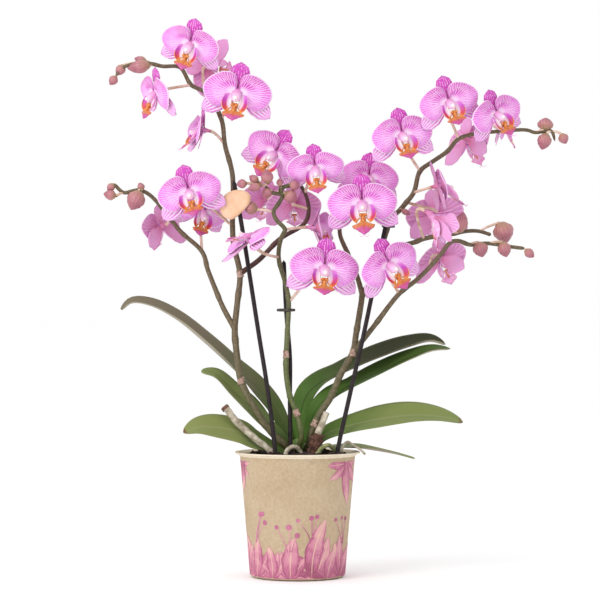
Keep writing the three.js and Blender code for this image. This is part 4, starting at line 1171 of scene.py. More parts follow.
def sheath(form, spike, index, radius, draw):
    """A thin dry collar that wraps a joint and ends in a torn point."""
    centre, ahead = (Vector(spike["main"][at]) for at in (index, index + 1))
    along = (ahead - centre).normalized()
    path = [centre + along * (step * 0.7 - 3) for step in range(9)]
    lean = draw.uniform(0, 6.28)

    def girth(s, turn):
        torn = 0.45 * math.cos(turn - lean) * smoothstep(s, 0.6, 1)
        return radius + 0.8 + 0.12 * math.sin(2 * turn + 3 * s) + torn - 0.3 * s
    tube(form, path, girth, 14, SHEATH_PAPER)


trial = Form()
bud(trial, (0, 0, 0), (0, 0, 4), (0, 0, 16), 11)
print("faces of a bud:", len(trial.faces))

# %% Grow every spike
BRANCH_RADII = (1.9, 1.2)
for name, spike in SPIKES.items():
    draw = random.Random(name)
    form = Form()
    skin = stem_green if name == "centre" else stem_brown
    start, end = spike["radii"]
    woody(form, spike["main"], start, end, STEM_BARK, 1.0)
    for branch in [key for key in spike if key not in ("radii", "main")]:
        woody(form, spike[branch], *BRANCH_RADII, DARK_BARK if branch == "dark" else STEM_BARK, 5.0)
    for index in JOINTS[name]:
        taper = start + (end - start) * index / (len(spike["main"]) - 1)
        sheath(form, spike, index, taper, draw)
    for bloom in [row for row in BLOOMS if row[7][0] == name]:
        stalk(form, bloom)
    for seat, tip, width, branch, index in BUDS[name]:
        bud(form, spike[branch][index], seat, tip, width)
    skins = [skin, stem_dark, stalk_skin, sheath_paper, bud_skin]
    form.place("grown_spike_" + name, skins, "stem_skin", ["spike_" + name])
    print("faces of the", name, "spike:", len(form.faces))

# %% [markdown]
# ## Leaves
# Orchid leaves are thick leathery straps that fold along the middle. The top is satin with very fine
# lengthwise lines and a sunken midrib. The underside is paler, with a mauve cast, and matt. A plane
# with bend modifiers would turn all of a leaf in one way. Rows of points across a curved midrib let
# the blade turn at its foot, fold along its middle, and wave at its margin.

# %% Leaf finish
LEAF_LINES = lines_across(32, 1.25)


def leaf_colour(base, outer, groove, tip_brown=0.0):
    """Base is the tone near the crown, and outer the tone that the leaf takes on towards its point."""
    def build(tree):
        across, along = place_on(tree)
        share = node(tree, "Math", solid_noise(tree, 35.7), 0.35, along, operation="MULTIPLY_ADD")
        tone = node(tree, "ValToRGB", share, stops=[(0.2, srgb(base)), (0.75, srgb(outer))])
        fine = node(tree, "Math", across, float(LEAF_LINES), operation="MULTIPLY")
        fine = node(tree, "Math", fine, 0.5, operation="PINGPONG")
        line = node(tree, "MapRange", fine, 0.0, 0.5, 0.0, 0.12)
        lined = node(tree, "Mix", line, tone, srgb("B4BE8C"), **COLOURS)
        off_axis = off_middle(tree, across)
        rib = node(tree, "MapRange", off_axis, 0.05, 0.01, 0.0, 0.5, **SMOOTH)
        ribbed = node(tree, "Mix", rib, lined, srgb(groove), **COLOURS)
        edge = node(tree, "MapRange", off_axis, 0.46, 0.5, 0.0, 0.35, **SMOOTH)
        edged = node(tree, "Mix", edge, ribbed, srgb("8A8458"), **COLOURS)
        dry = node(tree, "MapRange", along, 0.965, 0.985, 0.0, tip_brown, **SMOOTH)
        return node(tree, "Mix", dry, edged, srgb("6E4A38"), **COLOURS)
    return build


def leaf_bump(tree):
    """Fine lengthwise ridges over pores of 2 mm, drawn coarser than real ones so that they show."""
    across, _ = place_on(tree)
    fine = node(tree, "Math", across, float(LEAF_LINES), operation="MULTIPLY")
    fine = node(tree, "Math", fine, 0.5, operation="PINGPONG")
    return node(tree, "Math", fine, 0.5, solid_noise(tree, 2.0, 3.0), operation="MULTIPLY_ADD")


print("lines across a leaf:", LEAF_LINES)

# %% A finish for each leaf
LEAF = {"bump": leaf_bump, "strength": 0.18, "depth": 0.25, "Specular_IOR_Level": 0.12}
leaf_under = finish("leaf_underside_skin", leaf_colour("8E8A66", "A0968A", "8A8474"), 0.6, **LEAF)
# Each leaf: its finish's name, its tones at the foot, further out and in the groove, how brown its
# point is, and its roughness.
LEAF_TONES = {
    # The left long leaf's mauve-grey outer tone is partly a painted reflection of the light on the flat
    # outer part of its top.
    "leaf_left_long": ("leaf_long_cuticle", ("3C5A1A", "6E6250", "4C4A2C", 0.0), 0.5),
    "leaf_left_middle": ("leaf_olive_cuticle", ("466428", "788450", "5A6C3A", 0.0), 0.5),
    "leaf_left_low": ("leaf_low_cuticle", ("4A6C26", "7A834A", "94966A", 0.9), 0.48),
    # The right tall leaf's bright green foot is partly a painted highlight, and its near-black outer tone
    # and groove are painted shade on the far half of its top.
    "leaf_right_tall": ("leaf_painted_shade_cuticle", ("4C7826", "20240E", "1C200C", 0.0), 0.55),
    "leaf_right_middle": ("leaf_bright_cuticle", ("4A7424", "38541C", "284016", 0.0), 0.5),
    "leaf_right_broad": ("leaf_broad_cuticle", ("467024", "768348", "949A6C", 0.6), 0.48),
    "leaf_right_small": ("leaf_small_cuticle", ("4E7428", "7E8C48", "A0A870", 0.0), 0.4),
}
LEAF_TOPS = {leaf_name: finish(title, leaf_colour(*tones), roughness, **LEAF)
             for leaf_name, (title, tones, roughness) in LEAF_TONES.items()}
print("leaf finishes:", len(LEAF_TOPS) + 1)

# %% Leaf shapes
# Each leaf: half its width, its roll at the foot and further out, its fold, and its midline.
# The foot of most leaves shows its face to the viewer, and the blade then turns flat.
LEAVES = {
    "leaf_left_long": (16, 62, 12, 16, [
        (-8, 6, 108), (-12, 9, 121), (-20, 11, 136), (-34, 13, 151), (-51, 13, 166), (-74, 12, 187),
        (-97, 10, 206), (-118, 7, 217), (-133, 5, 219), (-141, 4, 213)]),
    "leaf_left_middle": (11, 46, 30, 14, [
        (-8, 0, 105), (-14, -2, 113), (-24, -3, 121), (-37, -1, 134), (-52, 1, 148), (-65, 2, 161),
        (-77, 0, 164)]),
    "leaf_left_low": (16, 32, 32, 8, [
        (-8, -3, 100), (-15, -5, 102), (-24, -8, 105), (-34, -11, 109), (-45, -15, 115),
        (-60, -19, 119), (-78, -23, 120), (-90, -25, 116)]),
    "leaf_right_tall": (16, 76, 16, 20, [
        (2, 9, 108), (2, 12, 118), (3, 15, 130), (8, 16, 144), (19, 16, 154), (33, 16, 161),
        (50, 15, 169), (70, 15, 177), (90, 15, 184), (107, 14, 188), (119, 13, 185)]),
    "leaf_right_middle": (13, 70, 18, 16, [
        (8, 4, 106), (10, 4, 118), (14, 1, 131), (26, 1, 144), (43, 2, 152), (59, 4, 160),
        (74, 4, 167), (92, 1, 175), (108, -2, 181), (122, -3, 182)]),
    "leaf_right_broad": (17, 40, 26, 12, [
        (8, -3, 98), (13, -4, 104), (20, -5, 112), (37, -7, 119), (67, -12, 126), (93, -15, 129),
        (113, -17, 128), (131, -18, 124)]),
    "leaf_right_small": (8, 4, 4, 10, [
        (3, 7, 101), (20, 9, 103), (34, 9, 103), (49, 9, 102.5), (60, 9, 101), (78, 7, 98),
        (94, 5, 94)]),
}
print("leaves in the table:", len(LEAVES))


# %% One leaf
LEAF_STEPS, LEAF_SIDE_STEPS = 64, 12
LEAF_TOP, LEAF_UNDER = range(2)


def leaf_width(along):
    """A narrow clasping foot, the widest place past the middle and a blunt point."""
    foot = 0.36 + 0.64 * smoothstep(along, 0.02, 0.5)
    tip = math.sqrt(max(0.0, 1 - (max(0.0, along - 0.55) / 0.452) ** 2))
    return foot if along < 0.55 else tip


def leaf(name, half_width, foot_roll, roll, fold, midline, draw):
    """A strap with a top and an underside, round a midrib."""
    path = smooth_path(midline, LEAF_STEPS)
    side = 1 if path[-1].x > path[0].x else -1
    phase = draw.uniform(0, 6.28)
    rings = []
    for i, rib in enumerate(path):
        along = i / LEAF_STEPS
        forward = (path[min(LEAF_STEPS, i + 1)] - path[max(0, i - 1)]).normalized()
        across = (Vector((0, 1, 0)) - forward * forward.y).normalized()
        turn = foot_roll + (roll - foot_roll) * smoothstep(along, 0.05, 0.45)
        across = Quaternion(forward, math.radians(turn * side)) @ across
        up = across.cross(forward) * -side
        width = max(0.05, half_width * leaf_width(along))
        top, bottom = [], []
        for j in range(LEAF_SIDE_STEPS + 1):
            s = j / (LEAF_SIDE_STEPS / 2) - 1
            lift = width * math.tan(math.radians(fold)) * abs(s) ** 1.35
            wave = 0.7 * math.sin(9 * along + phase + s) * s * s * smoothstep(along, 0.1, 0.4)
            half = 0.75 * (1 - 0.72 * s * s) * min(1.0, width / 3 + 0.1)
            centre = rib + across * (width * s) + up * (lift + wave)
            top.append(centre + up * half)
            bottom.append(centre - up * half)
        ring = bottom + top[::-1]
        turns_left = across.cross(up).dot(forward) > 0
        rings.append(ring if turns_left else ring[::-1])
    form = Form()
    count = len(rings[0])

    def pattern(i, j):
        j = j % count
        j = j if j <= LEAF_SIDE_STEPS else count - 1 - j
        return (j / LEAF_SIDE_STEPS, i / LEAF_STEPS)
    form.grid(rings, LEAF_TOP, around=True, pattern=pattern)
    form.fan(rings[0][::-1], path[0], LEAF_TOP, (0.5, 0.0))
    form.fan(rings[-1], path[-1], LEAF_TOP, (0.5, 1.0))
    for face in range(LEAF_STEPS * count):
        if turns_left:
            under = face % count < LEAF_SIDE_STEPS
        else:
            under = face % count > LEAF_SIDE_STEPS
        form.finishes[face] = LEAF_UNDER if under else LEAF_TOP
    return form.place("grown_" + name, [LEAF_TOPS[name], leaf_under], "leaf_green", [name])


print("widest place of a leaf, as a share of its length:",
      max((leaf_width(share / 100), share / 100) for share in range(101))[1])

# %% Grow every leaf
for number, (name, shape) in enumerate(LEAVES.items()):
    leaf(name, *shape, random.Random(300 + number))
print("leaves:", len(LEAVES))

# %% [markdown]
# ## Roots and crown
# Aerial roots are wrapped in velamen, a dry silvery skin like wet paper that has dried. It is lumpy
# and green where it is young. The stub of an old root sits in a shaggy brown tuft of dead fibres. A
# smooth pipe with a bumpy shader would still have a clean outline, so the lumps are in the mesh, and
# the fibres are small tubes that stand out of it.

# %% Root finishes
velamen = finish("root_velamen_dry", speckled("847760", "CFC5B2", 4.17, 0.3, 0.65), 0.8,
                 fine_grain, 0.6, 0.8)
velamen_green = finish("root_velamen_green", speckled("5E6A3A", "A4A070", 3.33), 0.65,
                       fine_grain, 0.5, 0.6)
root_end = finish("root_cut_end_dry", speckled("3A241C", "8A6450", 1.429), 0.9, fine_grain, 0.6, 0.8)
dead_fibre = finish("dead_root_fibre", speckled("2E1C16", "7A5242", 2.38, 0.3, 0.7), 0.95,
                    fine_grain, 0.9, 1.2)
crown_skin = finish("crown_leaf_base", leaf_colour("4C7030", "5E7A3A", "A0A878"), 0.5, **LEAF)
ROOT_SKIN, CUT_END, DEAD_FIBRE = range(3)
print("lumps of the velamen:", per_metre(4.17), "in a metre")

# %% Routes of the roots
# Each root: its radius at the first and last point, and its middle line.
ROOTS = {
    "root_left_thick": ((2.9, 2.4), [
        (-58, -13, 136), (-52, -15, 129), (-46, -17, 122), (-39, -19, 116), (-32, -20, 110),
        (-22, -20, 102), (-15, -19, 94), (-11, -18, 79)]),
    "root_front_arch": ((1.6, 1.8), [
        (-9, -33, 77), (-9, -33, 92), (-9, -31, 101), (-5, -28, 105), (0, -24, 104), (4, -21, 97),
        (6, -20, 79)]),
    "root_pale_stub": ((2.5, 3.4), [(23, -22, 132), (19, -21, 122), (15, -20, 112), (13, -20, 101),
                                    (13, -19, 79)]),
    "root_green_arch": ((1.9, 1.7), [
        (8, -33, 77), (10, -32, 90), (14, -30, 97), (20, -26, 105), (25, -22, 106), (29, -18, 102),
        (32, -15, 79)]),
    "root_over_rim": ((1.5, 0.9), [
        (32, -5, 79), (34, -7, 94), (36, -9, 104), (40, -9.5, 108), (45, -9, 105), (50, -8, 102),
        (54, -7, 98)]),
}
print("roots:", len(ROOTS))


# %% A lumpy tube
def lumpy(form, path, start, end, finish_number, seed, rough=0.16, sides=14):
    """A tube with large and small lumps. Rough is their height beside the radius."""
    def girth(s, turn):
        where = Vector((math.cos(turn) * 0.8, math.sin(turn) * 0.8, s * len(path) / 5 + seed))
        large, small = noise.noise(where), noise.noise(where * 3)
        return (start + (end - start) * s) * (1 + rough * large + rough * 0.5 * small)
    tube(form, path, girth, sides, finish_number)


trial = Form()
lumpy(trial, smooth_path(ROOTS["root_over_rim"][1], 60), 1.5, 0.9, ROOT_SKIN, 0.0)
print("faces of a root:", len(trial.faces))


# %% The shaggy foot of the old root
FIBRES, FIBRE_SEED = 26, 8
TUFT_RADIUS = 4.6


def tuft(form):
    """A rough brown core with short fibres that stand off its upper part."""
    core = smooth_path([(17, -20.5, 115), (15, -20, 109), (13, -20, 101), (13, -19, 90)], 40)
    lumpy(form, core, TUFT_RADIUS, 5.4, DEAD_FIBRE, 7.0, 0.5, 26)
    draw = random.Random(FIBRE_SEED)
    for _ in range(FIBRES):
        turn, drop = draw.uniform(0, 6.28), draw.uniform(0, 14)
        base = Vector((15 - drop * 0.15 + TUFT_RADIUS * math.cos(turn),
                       -20 + TUFT_RADIUS * math.sin(turn), 112 - drop))
        out = Vector((math.cos(turn) * draw.uniform(0.5, 2.4), math.sin(turn) * 1.6, draw.uniform(-5, 3)))
        tube(form, smooth_path([base, base + out * 0.6, base + out], 5),
             lambda s, turn: 0.55 * (1 - 0.7 * s), 5, DEAD_FIBRE)


print("fibres:", FIBRES)

# %% Grow every root
for number, (name, (radii, route)) in enumerate(ROOTS.items()):
    form = Form()
    skins = [velamen_green if name == "root_green_arch" else velamen, root_end, dead_fibre]
    lumpy(form, smooth_path(route, 60), *radii, ROOT_SKIN, 11.0 * number)
    if name == "root_left_thick":
        first, second = Vector(route[0]), Vector(route[1])
        along = (first - second).normalized()
        collar = [first - along * 2.5, first - along * 1.0, first + along * 0.3]
        lumpy(form, smooth_path(collar, 6), 3.2, 3.3, CUT_END, 3.0, 0.25)
    if name == "root_pale_stub":
        tuft(form)
    form.place("grown_" + name, skins, "root_skin", [name])
print("grown roots:", ", ".join(ROOTS))

# %% [markdown]
# ### The crown
# The crown is the short stem that the leaves and spikes grow from, wrapped in old leaf bases. Little
# of it shows between the leaves, so a ribbed tube is enough, with four papery scales in front of it.

# %% Crown
form = Form()
crown_path = smooth_path([(0, 0, 60), (0, 0, 78), (0, 0, 94), (0, 0, 110.5)], 24)


def crown_girth(s, turn):
    body = between([(0, 5.6), (0.6, 7.4), (0.85, 7.3), (0.97, 4.5), (1, 1.0)], s)
    return body * (1 + 0.06 * math.cos(4 * turn + 5 * s))


tube(form, crown_path, crown_girth, 24, 0, pattern=lambda i, j: (j / 24, i / 48))
# Each scale: its turn round the crown, the height of its point and how far out that leans.
SCALES = [(-100, 101, 10), (-40, 104, 9), (-150, 103, 9), (-70, 98, 12)]
for turn_degrees, height, reach in SCALES:
    turn = math.radians(turn_degrees)
    out = Vector((math.cos(turn), math.sin(turn), 0))
    side = Vector((-out.y, out.x, 0))
    rows = []
    for i in range(7):
        along = i / 6
        middle = out * (6.6 + (reach - 6) * along ** 2) + Vector((0, 0, height - 9 + 10 * along))
        width = 3.8 * (1 - 0.75 * along ** 2)
        rows.append([middle + side * (width * across) - out * (1.4 * across ** 2)
                     for across in (j / 3 - 1 for j in range(7))])
    sheet(form, rows, 0.4, 1, 1)
form.place("grown_crown", [crown_skin, dead_fibre], "leaf_green", ["crown"])
print("scales round the crown:", len(SCALES))

# %% [markdown]
# ## Stakes and clips
# Each stem is clipped to a thin dark rod. The rods were bent a little by the weight of the flowers,
# so a straight cylinder won't do, and each is a tube along a slightly curved path. A clip is moulded
# in one piece with two open rings that snap round stem and stake. The rings are short tubes that
# stop before they close, because that gap is what tells a clip from a bead.

# %% Stake and clip finishes
stake_coat = finish("stake_plastic_coat", speckled("1E1719", "30272A", 3.33), 0.45, fine_grain, 0.12,
                    Specular_IOR_Level=0.2)
clip_plastic = finish("clip_moulded_plastic", speckled("2A2422", "443A34", 2.5), 0.4, fine_grain, 0.1)
print("finishes:", stake_coat.name, "and", clip_plastic.name)

# %% Stakes
STAKE_RADIUS = 1.75
STAKES = {
    "stake_left": [(-11, -29, 14), (-17, -27, 95), (-23, -23, 146), (-31, -17, 196), (-45, -9, 284),
                   (-51, -8, 317)],
    "stake_centre": [(-4, -15, 15), (-5.5, -16, 96), (-6, -15.5, 145), (-6, -12.5, 175),
                     (-9, -7.5, 212), (-11, -5.5, 253)],
    "stake_right": [(22, -23, 15), (31, -23, 97), (41, -22, 144), (51, -18, 187), (59, -12.5, 224),
                    (70, -7.5, 279), (72, -7, 287)],
}
for name, route in STAKES.items():
    form = Form()
    tube(form, smooth_path(route, 90), lambda s, turn: STAKE_RADIUS * rounded(s, 0.006) + 0.01, 16, 0)
    form.place("coated_" + name, [stake_coat], "stake_dark", [name])
print("stakes:", len(STAKES))


# %% Clips
STEM_RING, STAKE_RING = 3.0, 2.4
RING_STEPS, RING_OPENING = 24, 40  # degrees that each ring stays open


def clip(name, stem_at, stake_at, height, bar):
    """Two open rings, one round the stem and one round the stake, on a short bar with a thumb tab."""
    form = Form()
    for centre, radius in ((stem_at, STEM_RING), (stake_at, STAKE_RING)):
        ring = []
        for step in range(RING_STEPS + 1):
            turn = math.radians(RING_OPENING / 2 + (360 - RING_OPENING) * step / RING_STEPS)
            x, y = centre[0] + radius * math.cos(turn), centre[1] + radius * math.sin(turn)
            ring.append(Vector((x, y, height)))
        tube(form, ring, lambda s, turn: 0.75 + 0.35 * abs(math.sin(turn)), 10, 0)
    for start, end in bar:
        tube(form, [Vector(start).lerp(Vector(end), step / 6) for step in range(7)],
             lambda s, turn: 1.25 * (0.75 + 0.25 * rounded(s, 0.2)), 12, 0)
    form.place("moulded_" + name, [clip_plastic], "clip_dark", [name])


clip("clip_left", (-52, 0), (-47.5, -8.5), 299, [
    ((-55, 1.5, 299), (-45, 1.5, 299)), ((-50, -2, 299), (-50, -6, 299))])
clip("clip_centre", (-7.2, -13.2), (-9, -7.4), 213, [((-16.5, -10.5, 213), (-1.8, -10.5, 213))])
clip("clip_right", (72.5, 0), (70.2, -7.5), 280, [
    ((68, 2.5, 280), (78, 2.5, 280)), ((76, -2, 280), (76, -6, 280))])
print("a stake's ring is", 2 * STAKE_RING, "mm across and opens by", RING_OPENING, "degrees")

# %% [markdown]
# ## The bare tag
# A small card tag, roughly the shape of an egg, hangs on the left clip. It is plain peach card. An
# extruded outline would leave a sharp edge, and pressed card has a soft one, so both faces fall off
# a little towards the margin.

# %% Tag
tag_card = finish("tag_card_pressed", speckled("E9BD96", "F4CFAE", 8.33), 0.75, fine_grain, 0.1)
TAG_CENTRE = Vector((-49, -14, 297))
TAG_OUTLINE = [(-13, -1), (-11, 4.6), (-7, 9), (-1.5, 11.2), (4.2, 11.4), (9.4, 9.8), (12, 6),
               (11.2, 1.4), (8, -3), (3.8, -7.2), (-0.4, -10.8), (-4.8, -12.2), (-9, -10.4),
               (-12, -6.4)]
TAG_RINGS = 4
form = Form()
outline = smooth_path([(x, 0, z) for x, z in [*TAG_OUTLINE, TAG_OUTLINE[0]]], 44)[:-1]
for depth, is_back in ((-0.35, False), (0.35, True)):
    rows = []
    for ring in range(TAG_RINGS + 1):
        share = ring / TAG_RINGS
        rows.append([TAG_CENTRE + Vector((p.x * ring / TAG_RINGS, depth + 0.35 * share ** 2,
                                          p.z * ring / TAG_RINGS)) for p in outline])
    form.grid(rows if is_back else [row[::-1] for row in rows], 0, around=True)
edge = [[TAG_CENTRE + Vector((p.x, depth, p.z)) for p in outline] for depth in (0.7, 0.0)]
form.grid(edge, 0, around=True)
form.place("plain_card_tag", [tag_card], "tag_card", ["name_tag"])
print("points round the tag:", len(outline))

# %% [markdown]
# ## The pot
# The pot is pressed from kraft paper and ends in a rolled, cream-coloured rim. A cylinder with its
# top scaled up would have the right outline but no thickness, rim or foot. One profile is turned
# round the axis instead, from the middle of the floor up the outside, over the rim and down inside.
# The paper overlaps itself at the back. Leaves and berries are printed on it in thin pink ink.

# %% Paper
FELT_GRAIN, FIBRE = 2.38, 0.4545


def paper_colour(light, dark):
    """Pressed paper is nearly even: soft clouds, and a fine grain that the felt pressed into it."""
    def build(tree):
        cloud = node(tree, "Math", solid_noise(tree, 38.5, 2.0), 0.6, operation="MULTIPLY")
        cloud = node(tree, "Math", solid_noise(tree, FELT_GRAIN, 2.0), 0.6, cloud,
                     operation="MULTIPLY_ADD")
        return node(tree, "ValToRGB", cloud, stops=[(0.4, srgb(light)), (0.82, srgb(dark))])
    return build


def paper_bump(tree):
    """The felt's grain over fibres of half a millimetre."""
    felt = solid_noise(tree, FELT_GRAIN, 2.0)
    return node(tree, "Math", felt, 0.7, solid_noise(tree, FIBRE, 3.0), operation="MULTIPLY_ADD")


print("grains of the felt in a metre:", per_metre(FELT_GRAIN))


# %% Ink
INK_RIBS = lines_across(35, 7)  # along a printed leaf


def ink_colour(tree):
    """A wash that pools darker at a leaf's foot and edges, with veins left bare."""
    across, along = place_on(tree)
    edge = node(tree, "MapRange", off_middle(tree, across), 0.3, 0.5, 0.0, 0.25, **SMOOTH)
    foot = node(tree, "MapRange", along, 0.0, 0.9, 0.35, 0.0)
    cloud = solid_noise(tree, 13.3, 3.0)
    wash = node(tree, "Math", cloud, 0.9, node(tree, "Math", edge, foot), operation="MULTIPLY_ADD")
    tone = node(tree, "ValToRGB", wash, stops=[
        (0.36, srgb("D9AAA2")), (0.52, srgb("D08EA0")), (0.7, srgb("BA688A")), (0.92, srgb("9A4A6C"))])
    slant = node(tree, "Math", off_middle(tree, across), 1.3, along, operation="MULTIPLY_ADD")
    wave = node(tree, "Math", slant, float(INK_RIBS), operation="MULTIPLY")
    wave = node(tree, "Math", wave, 0.5, operation="PINGPONG")
    ribs = node(tree, "MapRange", wave, 0.07, 0.01, 0.0, 0.5, **SMOOTH)
    keel = node(tree, "MapRange", off_middle(tree, across), 0.05, 0.02, 0.0, 0.7, **SMOOTH)
    bare = node(tree, "Math", ribs, keel, operation="MAXIMUM")
    return node(tree, "Mix", bare, tone, srgb("DCC0A4"), **COLOURS)


print("ribs along a printed leaf:", INK_RIBS)

# %% Pot finishes
kraft = finish("kraft_paper_pressed", paper_colour("DEC9AA", "CAAE8A"), 0.85, paper_bump, 0.9, 1.6)
cream_paper = finish("cream_paper_rolled", paper_colour("EADFCA", "DCCCB2"), 0.8, paper_bump, 0.3, 0.4)
ink = finish("watercolour_ink_printed", ink_colour, 0.8, paper_bump, 0.4, 0.4)
liner_plastic = finish("grow_pot_moulded_plastic", speckled("161414", "242020", 5.0),
                       0.45, fine_grain, 0.1)
print("pot finishes:", kraft.name, cream_paper.name, ink.name)

# %% Profile of the pot
POT_SIDES, PAPER_THICKNESS = 120, 1.1
FOOT_RADIUS, NECK_RADIUS, NECK_HEIGHT = 37.8, 45.9, 95.0
FOOT = [(0, 0.6), (30, 0.6), (35.4, 0.5), (36.9, 0.1), (37.6, 0.3), (38.0, 1.6)]
ROLLED_RIM = [(46.0, 95.6), (46.7, 97.0), (48.2, 98.2), (49.5, 98.6), (50.1, 98.9), (50.2, 99.5),
              (49.6, 99.9), (48.4, 99.8), (46.8, 98.6), (45.6, 96.9), (44.8, 94.8)]
FLOOR_INSIDE = [(36.9, 2.6), (36.2, 1.7), (34.5, 1.4), (0, 1.3)]


def pot_wall(z):
    return FOOT_RADIUS + (NECK_RADIUS - FOOT_RADIUS) * z / NECK_HEIGHT


def lap(turn):
    """How far the paper stands out where it overlaps itself at the back, about 15 mm wide."""
    return 0.35 * smoothstep(turn, 1.42, 1.44) * (1 - smoothstep(turn, 1.7, 1.9))


print("the wall is", round(pot_wall(0), 1), "mm from the axis at the foot and",
      round(pot_wall(95), 1), "at the neck")

# %% Turn the profile round the axis
form = Form()
outside = [Vector((pot_wall(z), 0, z)) for z in range(3, 95, 4)]
inside = [Vector((pot_wall(z) - PAPER_THICKNESS, 0, z)) for z in range(92, 5, -8)]
profile = [*smooth_path([(r, 0, z) for r, z in FOOT], 12), *outside,
           *smooth_path([(r, 0, z) for r, z in ROLLED_RIM], 24), *inside,
           *smooth_path([(r, 0, z) for r, z in FLOOR_INSIDE], 6)]
rows = []
for knot in profile:
    row = []
    for side in range(POT_SIDES):
        turn = 2 * math.pi * side / POT_SIDES
        radius = max(0.0, knot.x) + (lap(turn) if knot.x > 37 and 2 < knot.z < 94 else 0.0)
        row.append(Vector((radius * math.cos(turn), radius * math.sin(turn), max(0.0, knot.z))))
    rows.append(row)
form.grid(rows, 0, around=True)
outer_rows = next(i for i, knot in enumerate(profile) if knot.z > 96.6)
for face in range(len(form.faces)):
    if face // POT_SIDES >= outer_rows:
        form.finishes[face] = 1
form.place("pressed_paper_pot", [kraft, cream_paper], "kraft_paper", ["paper_pot"])
print("faces of the pot:", len(form.faces))

# %% [markdown]
# ### The printed foliage
# Real ink soaks into the paper and has no thickness. It could be a mask in the paper's colour, but a
# mask of many leaves is a long chain of nodes, and its edges blur. Each leaf, berry and stem is a
# film that follows the wall a tenth of a millimetre off it instead, and later ones lie a hair
# further out, as in a painting.

# %% Bouquets
# Each bouquet: its turn round the pot from the front, where it grows from, which way it grows (1 up
# from the foot, -1 hanging from the rim), and the length of its middle leaf.
BOUQUETS = [
    (-80, 4, 1, 27), (-56, 3, 1, 38), (-31, 3, 1, 22), (-8, 2, 1, 30), (17, 3, 1, 43), (38, 2, 1, 25),
    (62, 3, 1, 36), (86, 3, 1, 24), (108, 3, 1, 38), (133, 3, 1, 26), (158, 3, 1, 34),
    (182, 3, 1, 24), (206, 3, 1, 40), (230, 3, 1, 27), (256, 3, 1, 35), (58, 92, -1, 32),
    (-72, 92, -1, 22), (150, 92, -1, 28), (214, 92, -1, 24)]
print("bouquets:", len(BOUQUETS))


# %% Films of ink on the wall
INK_LIFT, LAYER_LIFT = 0.1, 0.02


def on_pot(turn, along_wall, z, layer):
    """A point just off the pot's wall, from degrees round it, millimetres along it and a height."""
    radius = pot_wall(z) + (INK_LIFT + LAYER_LIFT * layer) + lap(math.radians(turn - 90) % (2 * math.pi))
    angle = math.radians(turn - 90) + along_wall / radius
    return Vector((radius * math.cos(angle), radius * math.sin(angle), z))


def ink_leaf(form, turn, x, z, lean, length, width, layer):
    """One painted leaf with a wavy margin. Later layers lie a hair further out."""
    bend = 0.35 * math.sin(3 * lean + length)
    rows = []
    for i in range(13):
        along = i / 12
        half = width / 2 * math.sin(math.pi * min(1.0, along ** 0.8 * 0.97 + 0.015)) ** 0.75
        half *= 1 + 0.06 * math.sin(17 * along + 5 * lean)
        angle = lean + bend * along
        row = []
        for j in range(7):
            u, v = half * (j / 3 - 1), length * along
            height = z + v * math.cos(angle) - u * math.sin(angle)
            row.append(on_pot(turn, x + u * math.cos(angle) + v * math.sin(angle),
                              min(93.5, max(1.8, height)), layer))
        rows.append(row)
    form.grid(rows, 0)


def ink_berry(form, turn, x, z, size, layer):
    """One painted berry, a round film."""
    rim = []
    for step in range(14):
        angle = 2 * math.pi * step / 14
        rim.append(on_pot(turn, x + size * math.cos(angle), z + size * math.sin(angle), layer))
    form.fan(rim, on_pot(turn, x, z, layer), 0, (0.3, 0.2))


def ink_stem(form, turn, start, end, layer):
    """A thin curved line of ink between two places on the wall."""
    rows = []
    for step in range(9):
        share = step / 8
        x = start[0] + (end[0] - start[0]) * share ** 1.4
        z = start[1] + (end[1] - start[1]) * share
        rows.append([on_pot(turn, x - 0.45, z, layer), on_pot(turn, x + 0.45, z, layer)])
    form.grid(rows, 0, pattern=lambda i, j: (0.3, i / 8))


print("the third leaf of a bouquet lies", round(INK_LIFT + 2 * LAYER_LIFT, 2), "mm off the paper")

# %% Paint every bouquet
form = Form()
draw = random.Random(77)
for turn, foot, way, length in BOUQUETS:
    count = draw.choice([5, 6, 7])
    order = sorted(range(count), key=lambda index: -abs(index - (count - 1) / 2))
    for layer, index in enumerate(order):
        share = index / (count - 1) * 2 - 1
        lean = math.radians(share * 78 + draw.uniform(-7, 7))
        reach = length * (1 - 0.42 * abs(share)) * draw.uniform(0.85, 1.12)
        lean = lean if way > 0 else math.pi - lean
        ink_leaf(form, turn, 0.0, foot, lean, reach, reach * draw.uniform(0.3, 0.46), layer)
    if way > 0 and length > 28:
        for berry in range(3):
            tip = (draw.uniform(-14, 14), foot + length + draw.uniform(2, 12))
            ink_stem(form, turn, (tip[0] * 0.2, foot + length * 0.7), tip, count)
            ink_berry(form, turn, *tip, draw.uniform(1.5, 2.4), count + 1)
form.place("printed_foliage", [ink], "kraft_paper", ["paper_pot"])
print("painted faces:", len(form.faces))

# %% [markdown]
# ## Bark mix
# The mix is chopped pine bark, nearly black where it is damp. A bumpy shader on a flat disc would
# look like soil. A low mound carries 360 chips that lie at all angles, and each chip is a slab with
# seven corners that are pushed about by chance. Flat shading keeps its broken edges sharp.

# %% The mound
BARK_SIDES, CHIPS, CHIP_CORNERS = 48, 360, 7
# Radius and height of the mound's rings, from the middle of its top to the middle of its foot.
MOUND = [(0, 96), (12, 96.5), (24, 97), (34, 97), (40, 96.5), (43.4, 95.8), (43.4, 93.4),
         (40.6, 93.2), (40.4, 70), (36, 5), (0, 4.5)]
bark_skin = finish("pine_bark_chopped", speckled("120C08", "4A3428", 3.85, 0.35, 0.8), 0.95,
                   fine_grain, 0.9, 1.0)
form = Form()
mound_rows = []
for radius, height in MOUND:
    row = []
    for side in range(BARK_SIDES):
        turn = 2 * math.pi * side / BARK_SIDES
        bump = 1.4 * noise.noise(Vector((radius, side, 3))) if height > 95 else 0
        row.append(Vector((radius * math.cos(turn), radius * math.sin(turn), height + bump)))
    mound_rows.append(row)
form.grid(mound_rows[::-1], 0, around=True)
print("faces of the mound:", len(form.faces))

